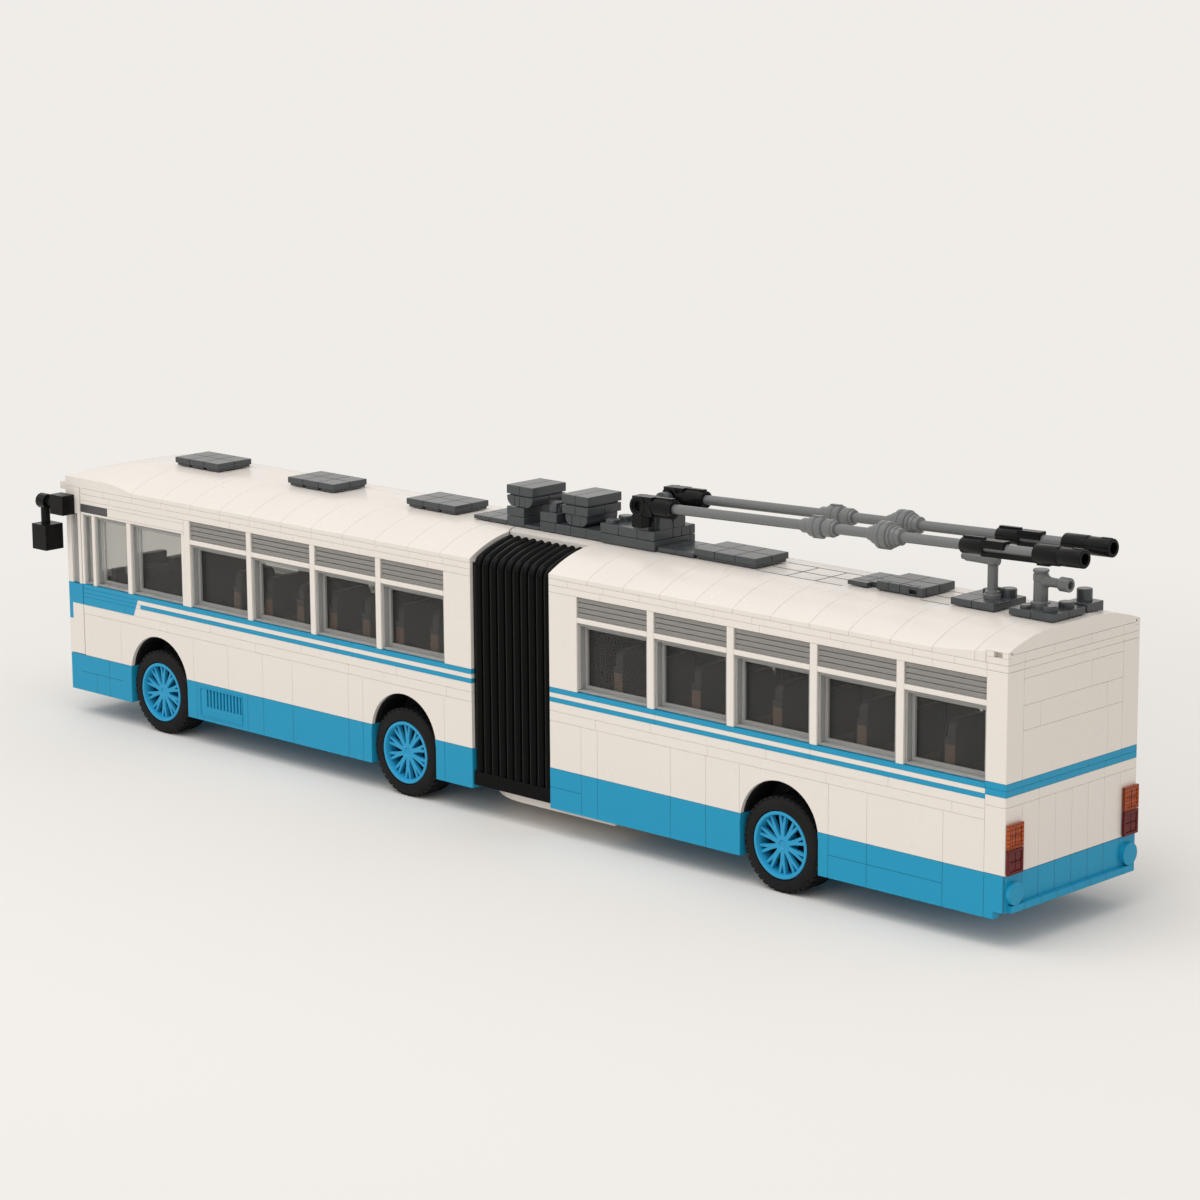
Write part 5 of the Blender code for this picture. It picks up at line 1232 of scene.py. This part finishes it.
# Steps of the bar's profile: the distance back from the coupling's or the flange's front, and the radius
couplingSteps = (
    (0.1, 1.95), (0.8, 2.3), (3.3, 2.35), (3.6, 2.9), (4.1, 3.2), (6.2, 3.2), (6.3, 3.0), (6.7, 3.0),
    (6.8, 3.2), (8.8, 3.2), (9.1, 2.9), (9.2, 2.5), (9.6, 2.5), (9.7, 2.75), (12.6, 2.75), (12.8, 2.4),
    (13.7, 2.3),
)
flangeSteps = (
    (0.1, 2.0), (0.6, 2.2), (2.2, 2.4), (2.4, 3.0), (4.4, 3.3), (4.6, 4.0), (4.9, 4.3), (6.3, 4.3),
    (6.4, 4.1), (6.8, 4.1), (6.9, 4.3), (8.4, 4.3), (8.8, 4.0), (8.9, 3.6), (9.9, 3.6), (10.1, 3.1),
    (11.2, 3.0), (11.4, 2.7), (12.9, 2.6),
)


def onPole(part, word, plan):
    # Points drawn as (distance back, across, up) put on the pole's own line from its hub
    x, y = plan["hub"][word]
    c, s = math.cos(plan["pitch"]), math.sin(plan["pitch"])
    axes = np.array([(-c, 0, s), (0, 1, 0), (s, 0, c)])
    return np.array([x, y, plan["z"]]) + part[0] @ axes, part[1]


def turned(profile, steps, closed=False):
    return lathe(profile, (0, 0, 0), (1, 0, 0), steps, closed)


def hubPieces(word, plan):
    side = 1 if word == "left" else -1
    disc = lathe([(0, 3.1), (0.25, 3.3), (4.95, 3.3), (5.2, 3.1), (5.2, 2.2), (4.6, 2.0), (4.6, 1.6),
                  (3.4, 1.6)], (0, -plan["discInset"] * side, 0), (0, side, 0), 36)
    sleeve = turned([(1.6, 2.6), (4.2, 2.6), (4.4, 2.9), (5.9, 2.9), (6.1, 2.6), (6.5, 2.6), (6.7, 3.0),
                     (12.6, 3.0), (12.8, 2.8), (14.3, 2.8), (14.3, 1.9), (13.5, 1.9)], 32)
    ribs = [(6.4, 13.8, -0.9, 0.9, 2.6, 3.3), (6.4, 13.8, -0.9, 0.9, -3.3, -2.6),
            (-2.4, 6.0, -2.2, 2.2, 1.6, 3.25), (1.0, 6.2, -2.4, 2.4, -2.9, 0.5)]
    return disc, sleeve, boxes(ribs)


def barPieces(word, plan):
    radius = plan["radius"]
    a, b = plan["coupling"][word], plan["flange"][word]
    profile = [(8.0, radius), (a, radius)] + [(a + way, wide) for way, wide in couplingSteps]
    profile += [(a + 13.8, radius), (b, radius)] + [(b + way, wide) for way, wide in flangeSteps]
    profile += [(b + 13.2, radius), (plan["barTo"], radius)]
    keys = [(a + 4.4, a + 8.5, -0.6, 0.6, 2.9, 3.5), (a + 4.4, a + 8.5, -0.6, 0.6, -3.5, -2.9)]
    return turned(profile, 32), boxes(keys)


def headPieces(word, plan):
    head, tip, clip = plan["head"], plan["reach"], plan["clip"][word]
    horn = turned([(head, 1.95), (head + 0.2, 2.9), (head + 0.5, 3.0), (head + 8.4, 3.0), (head + 8.7, 2.75),
                   (head + 9.0, 2.65), (head + 9.3, 2.8), (tip - 0.25, 2.8), (tip, 2.6), (tip, 1.75),
                   (tip - 4.0, 1.6)], 36)
    grip = turned([(clip, 1.95), (clip, 2.35), (clip + 0.25, 2.5), (clip + 8.4, 2.5), (clip + 8.6, 2.35),
                   (clip + 8.6, 1.95)], 32, True)
    strips = [
        (clip + 8.0, clip + 16.4, -1.3, 1.9, 1.45, 2.45),
        (clip + 8.0, clip + 16.4, 1.2, 2.3, 0.1, 2.0),
        (clip + 8.0, head + 1.0, -1.6, 2.0, -2.5, -1.2),
        (clip + 0.4, clip + 8.2, -0.7, 0.7, 2.3, 2.95),
        (head + 0.6, head + 5.0, -1.0, 1.0, -3.3, -2.7),
        (tip - 4.2, tip - 0.6, -0.5, 0.5, 2.6, 2.95),
    ]
    return horn, grip, boxes(strips)


poleKinds = (
    ("Hub", hubPieces, "black", "black", 0.1, 2),
    ("Bar", barPieces, "lightGrey", "light_grey", 0, 1),
    ("Head", headPieces, "black", "black", 0.1, 2),
)
for word in ("left", "right"):
    for kind, pieces, finish, slot, edge, segments in poleKinds:
        parts = [onPole(part, word, poles) for part in pieces(word, poles)]
        addPiece(f"pole{kind}{word.title()}", parts, finish, f"pole_{word}", slot,
                 (f"pole_{kind.lower()}_{word}",), edge, segments, 35)
print("poles built")


# Wheels: turned rims with forked spokes, and tyres with low lugs
wheels = {
    "x": dict(zip(("rear", "middle", "front"), cars["rear"]["axles"] + cars["front"]["axles"])),
    "z": 15.2,
    "outer": 31.4,
    "width": 11.6,
    "rimRadius": 10.7, "rimWidth": 11.0,
    "spokes": 10, "spokeOut": (2.6, 1.15),
    "axle": (26.0, 2.4),  # its end and its radius
    "radius": 15.2,
    "tread": 15.0,
    "lugs": 40, "lugShare": 0.72,
    "lugTop": 15.18,
}


def aboutAxle(part, count, x, z, start=0.0):
    # A part drawn at the top of a wheel, as (along the rim, across, out from the axle), repeated round it
    points, arrays = part
    along, across, out = points.T
    turn = start + 2 * np.pi * np.arange(count) / count
    c, s = np.cos(turn)[:, None], np.sin(turn)[:, None]
    placed = np.stack(np.broadcast_arrays(x + along * c + out * s, across, z - along * s + out * c), axis=2)
    step = len(points) * np.arange(count)[:, None, None]
    return placed.reshape(-1, 3), [(rows[None] + step).reshape(-1, rows.shape[1]) for rows in arrays]


def rimParts(x, side, plan):
    outer, r, wide, z = plan["outer"], plan["rimRadius"], plan["rimWidth"], plan["z"]
    centre, out = (x, side * outer, z), (0, side, 0)
    barrel = lathe([(0, 9.7), (0, r - 0.2), (-0.2, r), (0.2 - wide, r), (-wide, r - 0.2), (-wide, 9.2),
                    (-4.4, 9.2), (-4.2, 9.0), (-1.0, 9.35), (-0.5, 9.5)], centre, out, 64, True)
    hub = lathe([(-7.4, 3.2), (-1.6, 3.0), (-1.2, 2.8), (-1.1, 1.5), (-1.5, 1.2)], centre, out, 40)
    fork = [(-0.7, 2.4), (-0.85, 5.0), (-1.6, 9.7), (-0.7, 9.75), (0.0, 6.4), (0.7, 9.75), (1.6, 9.7),
            (0.85, 5.0), (0.7, 2.4)]
    ends = sorted(side * (outer - inset) for inset in plan["spokeOut"])
    return [barrel, hub, aboutAxle(prism(fork, "y", *ends), plan["spokes"], x, z)]


def tyreParts(x, side, plan):
    outer, wide, z, count = plan["outer"], plan["width"], plan["z"], plan["lugs"]
    centre, out = (x, side * outer, z), (0, side, 0)
    wall = [(0.0, 11.0), (0.0, 13.2), (-0.25, 13.9), (-0.9, 14.5), (-1.6, plan["tread"])]
    body = lathe(wall + [(-wide - way, radius) for way, radius in wall[::-1]], centre, out, 96, True)
    half = math.pi * plan["radius"] / count * plan["lugShare"]

    def lugs(spans, foot, start=0.0):
        rows = [(-half, half, side * (outer - a), side * (outer - b), foot, plan["lugTop"]) for a, b in spans]
        return aboutAxle(boxes(rows), count, x, z, start)

    shoulder = lugs(((0.9, 3.6), (wide - 3.6, wide - 0.9)), 13.9)
    middle = lugs(((4.1, wide - 4.1),), 14.0, math.pi / count)
    # A dark disc of tyre rubber closes the rim's well behind the spokes: painted shade where the wheel shows
    # only shadow
    shadeDisc = lathe([(-5.9, 9.3), (-5.4, 9.3)], centre, out, 40)
    return [body, shoulder, middle, shadeDisc]


for axle, x in wheels["x"].items():
    body, (end, radius) = f"wheels_{axle}", wheels["axle"]
    rims = [part for side in (1, -1) for part in rimParts(x, side, wheels)]
    rims.append(lathe([(0, radius), (2 * end, radius)], (x, -end, wheels["z"]), (0, 1, 0), 24))
    addPiece(f"rims{axle.title()}", rims, "rim", body, "rim_blue", (f"rims_{axle}",), 0.1, 1, 35)
    for side, word in ((1, "left"), (-1, "right")):
        addPiece(f"tyre{axle.title()}{word.title()}", tyreParts(x, side, wheels), "tyre", body, "tyre",
                 (f"tyre_{axle}_{word}",), 0, 1, 35)
print("wheels built")


# Seats: rounded backs, cushions, and brown panels towards the windows
seats = {
    "pitch": 16.7,
    "y": (10.9, 26.9),
    "foot": 36.6,
    "backTop": 64.5, "backX": (-0.25, 2.65), "corner": 3.0,
    "cushionX": (2.9, 11.2), "cushion": (38.2, 40.4),
    "cap": (57.0, 59.2), "panelTop": 56.9,
    "rows": {"rear": ((1, 6.0, 10), (-1, 6.0, 6), (-1, 142.0, 2)),
             "front": ((1, 224.0, 8), (-1, 224.0, 4), (-1, 334.0, 2))},
}
# The driver's seat, its back, the screen behind it, the dashboard and the post beside it
cab = [
    (404.0, 407.4, 8.0, 22.0, 36.6, 61.0), (395.0, 402.0, 14.0, 27.3, 36.6, 58.0),
    (395.0, 399.0, -26.0, 13.0, 36.6, 60.0), (413.0, 425.0, -26.0, 26.5, 40.0, 52.6),
    (410.2, 412.6, 22.4, 27.3, 36.6, 56.0),
]


def seatBack(x, side, plan):
    # A slab with round upper corners, drawn across the bus
    (y0, y1), r = plan["y"], plan["corner"]
    turn = np.linspace(0, np.pi / 2, 7)
    top = plan["backTop"] - r
    outer = np.stack([y1 - r + r * np.cos(turn), top + r * np.sin(turn)], axis=1)
    inner = np.stack([y0 + r - r * np.sin(turn), top + r * np.cos(turn)], axis=1)
    outline = np.concatenate([[(y1, plan["foot"])], outer, inner, [(y0, plan["foot"])]])
    low, high = plan["backX"]
    return prism(outline * (side, 1), "x", x + low, x + high)


for car, rows in seats["rows"].items():
    dark, brown = ([boxes(cab)] if car == "front" else []), []
    y0, y1 = seats["y"]
    c0, c1 = seats["cushionX"]
    for side, start, count in rows:
        edge = side * (y1 + 0.05)
        for x in start + seats["pitch"] * np.arange(count):
            dark.append(seatBack(x, side, seats))
            dark.append(boxes([(x + c0, x + c1, side * y0, side * (y1 - 0.1), *seats["cushion"]),
                               (x - 0.6, x + 3.4, edge, side * (y1 + 0.6), *seats["cap"])]))
            brown.append((x - 0.4, x + 3.2, edge, side * (y1 + 0.55), seats["foot"], seats["panelTop"]))
            brown.append((x - 0.45, x - 0.3, side * 13.0, side * y1, 40.0, 50.0))
    addPiece(f"seats{car.title()}", dark, "seat", f"{car}_car", "grey", (), 0.25, 2, 35)
    addPiece(f"seatPanels{car.title()}", [boxes(brown)], "brown", f"{car}_car", "grey", (), 0.12, 1)
print("seats fitted")


# Lamps: framed tail lamps in two colours, and round headlamps with a dark ring
lamps = {
    "y": (24.7, 31.85),
    "panes": ((22.95, 30.5), (30.7, 38.05)),
    "frame": (-1.3, -0.35), "wide": 0.9,
    "cell": (-1.05, -0.35), "cellSize": (2.5, 2.7), "cellPitch": (2.7, 2.9),
    "back": (-0.5, -0.3),
    "head": (432.3, 25.0, 30.0),
}


def tailLamp(side, plan):
    parts = []
    y0, y1 = plan["y"]
    (wideY, wideZ), (pitchY, pitchZ) = plan["cellSize"], plan["cellPitch"]
    for z0, z1 in plan["panes"]:
        edges = ring(y0, y1, z0, z1, *plan["frame"], plan["wide"])
        rows = [(x0, x1, a, b, low, high) for a, b, x0, x1, low, high in edges]
        for i, j in ((0, 0), (0, 1), (1, 0), (1, 1)):
            y, z = y0 + 1.0 + pitchY * i, z0 + 1.0 + pitchZ * j
            rows.append((*plan["cell"], y, y + wideY, z, z + wideZ))
        rows.append((*plan["back"], y0 + 0.2, y1 - 0.2, z0 + 0.2, z1 - 0.2))
        parts.append(boxes(np.array(rows) * (1, 1, side, side, 1, 1)))
    return parts


for side, word in ((1, "left"), (-1, "right")):
    title = word.title()
    addPiece(f"tailLamp{title}", tailLamp(side, lamps), "lamp", "rear_car", "lamp",
             (f"tail_lamp_{word}",), 0.25)
    x, y, z = lamps["head"]
    centre, ahead = (x, side * y, z), (1, 0, 0)
    shell = lathe([(0, 4.0), (1.2, 4.0), (1.5, 3.8), (1.5, 3.4), (0.4, 3.3)], centre, ahead, 40)
    addPiece(f"headlampRing{title}", [shell], "stripGrey", "front_car", "white", (), 0, 1, 35)
    lens = lathe(domed(0.5, 3.2, 0.9, 1.7, 3.15), centre, ahead, 40)
    addPiece(f"headlampLens{title}", [lens], "white", "front_car", "white", (f"headlamp_{word}",), 0, 1, 35)
print("lamps fitted")


# Floor and light
studio = {
    "floor": linear(233, 230, 226),
    "floorSpan": 6.0,
    "fade": (0.16, 0.5),  # metres from the bus over which the floor turns into the backdrop
    "back": linear(240, 237, 233),
    "sky": 0.66,
    "skyTint": (1.0, 0.98, 0.96, 1.0),
    "lamps": {
        "topLight": ((0.05, 0.6, 1.55), (1.8, 1.2), 12.8),
        "sideLight": ((-0.35, 1.35, 0.8), (1.0, 0.8), 3.0),
    },
    "aim": (0, 0, 0.05),
}


def makeFloor(plan):
    # Pale card; seen by the camera it fades with distance into the backdrop's own colour
    material, tree, shader = newMaterial("floorCard", 0.8, 0.2)
    shader.inputs["Base Color"].default_value = plan["floor"]
    glow = addNode(tree, "Emission", {"Color": plan["back"]})
    away = addNode(tree, "VectorMath", {0: objectPlace(tree)}, operation="LENGTH").outputs["Value"]
    near, far = plan["fade"]
    fade = addNode(tree, "MapRange", {"From Min": near, "From Max": far, "Value": away},
                   interpolation_type="SMOOTHSTEP")
    camera = addNode(tree, "LightPath", {}).outputs["Is Camera Ray"]
    seen = sums(tree, "MULTIPLY", fade.outputs["Result"], camera)
    mix = addNode(tree, "MixShader", {"Fac": seen, 1: shader.outputs[0], 2: glow.outputs[0]})
    tree.links.new(mix.outputs[0], tree.nodes["Material Output"].inputs["Surface"])
    mesh = bpy.data.meshes.new("floor")
    span = plan["floorSpan"]
    corners = [(-span, -span, 0), (span, -span, 0), (span, span, 0), (-span, span, 0)]
    mesh.from_pydata(corners, [], [(0, 1, 2, 3)])
    mesh.materials.append(material)
    floor = bpy.data.objects.new("floor", mesh)
    bpy.context.scene.collection.objects.link(floor)
    floor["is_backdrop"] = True


def makeWorld(plan):
    # The backdrop's colour for the camera, glossy and clear parts; a dimmer sky for the light
    world = bpy.data.worlds.new("studio")
    bpy.context.scene.world = world
    world.use_nodes = True
    tree = world.node_tree
    tree.nodes.clear()
    light = addNode(tree, "Background", {"Color": plan["skyTint"], "Strength": plan["sky"]})
    back = addNode(tree, "Background", {"Color": plan["back"], "Strength": 1.0})
    path = addNode(tree, "LightPath", {}).outputs
    seen = anyOf(tree, *(path[f"Is {kind} Ray"] for kind in ("Glossy", "Transmission", "Camera")))
    mix = addNode(tree, "MixShader", {"Fac": seen, 1: light.outputs[0], 2: back.outputs[0]})
    addNode(tree, "OutputWorld", {"Surface": mix.outputs[0]})


def makeLamp(name, place, size, power, aim):
    lamp = bpy.data.lights.new(name, "AREA")
    lamp.shape = "RECTANGLE"
    lamp.size, lamp.size_y = size
    lamp.energy = power
    holder = bpy.data.objects.new(name, lamp)
    bpy.context.scene.collection.objects.link(holder)
    turn = (Vector(aim) - Vector(place)).to_track_quat("-Z", "Y").to_matrix().to_4x4()
    holder.matrix_world = Matrix.Translation(place) @ turn
    holder.visible_camera = False


makeFloor(studio)
makeWorld(studio)
for name, (place, size, power) in studio["lamps"].items():
    makeLamp(name, place, size, power, studio["aim"])
bpy.context.scene.view_settings.view_transform = "Standard"
print("studio lit")


def flat(box):
    return [[float(value) for value in corner] for corner in box]


{"cad": flat(cadBox), "visual": flat(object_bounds())}
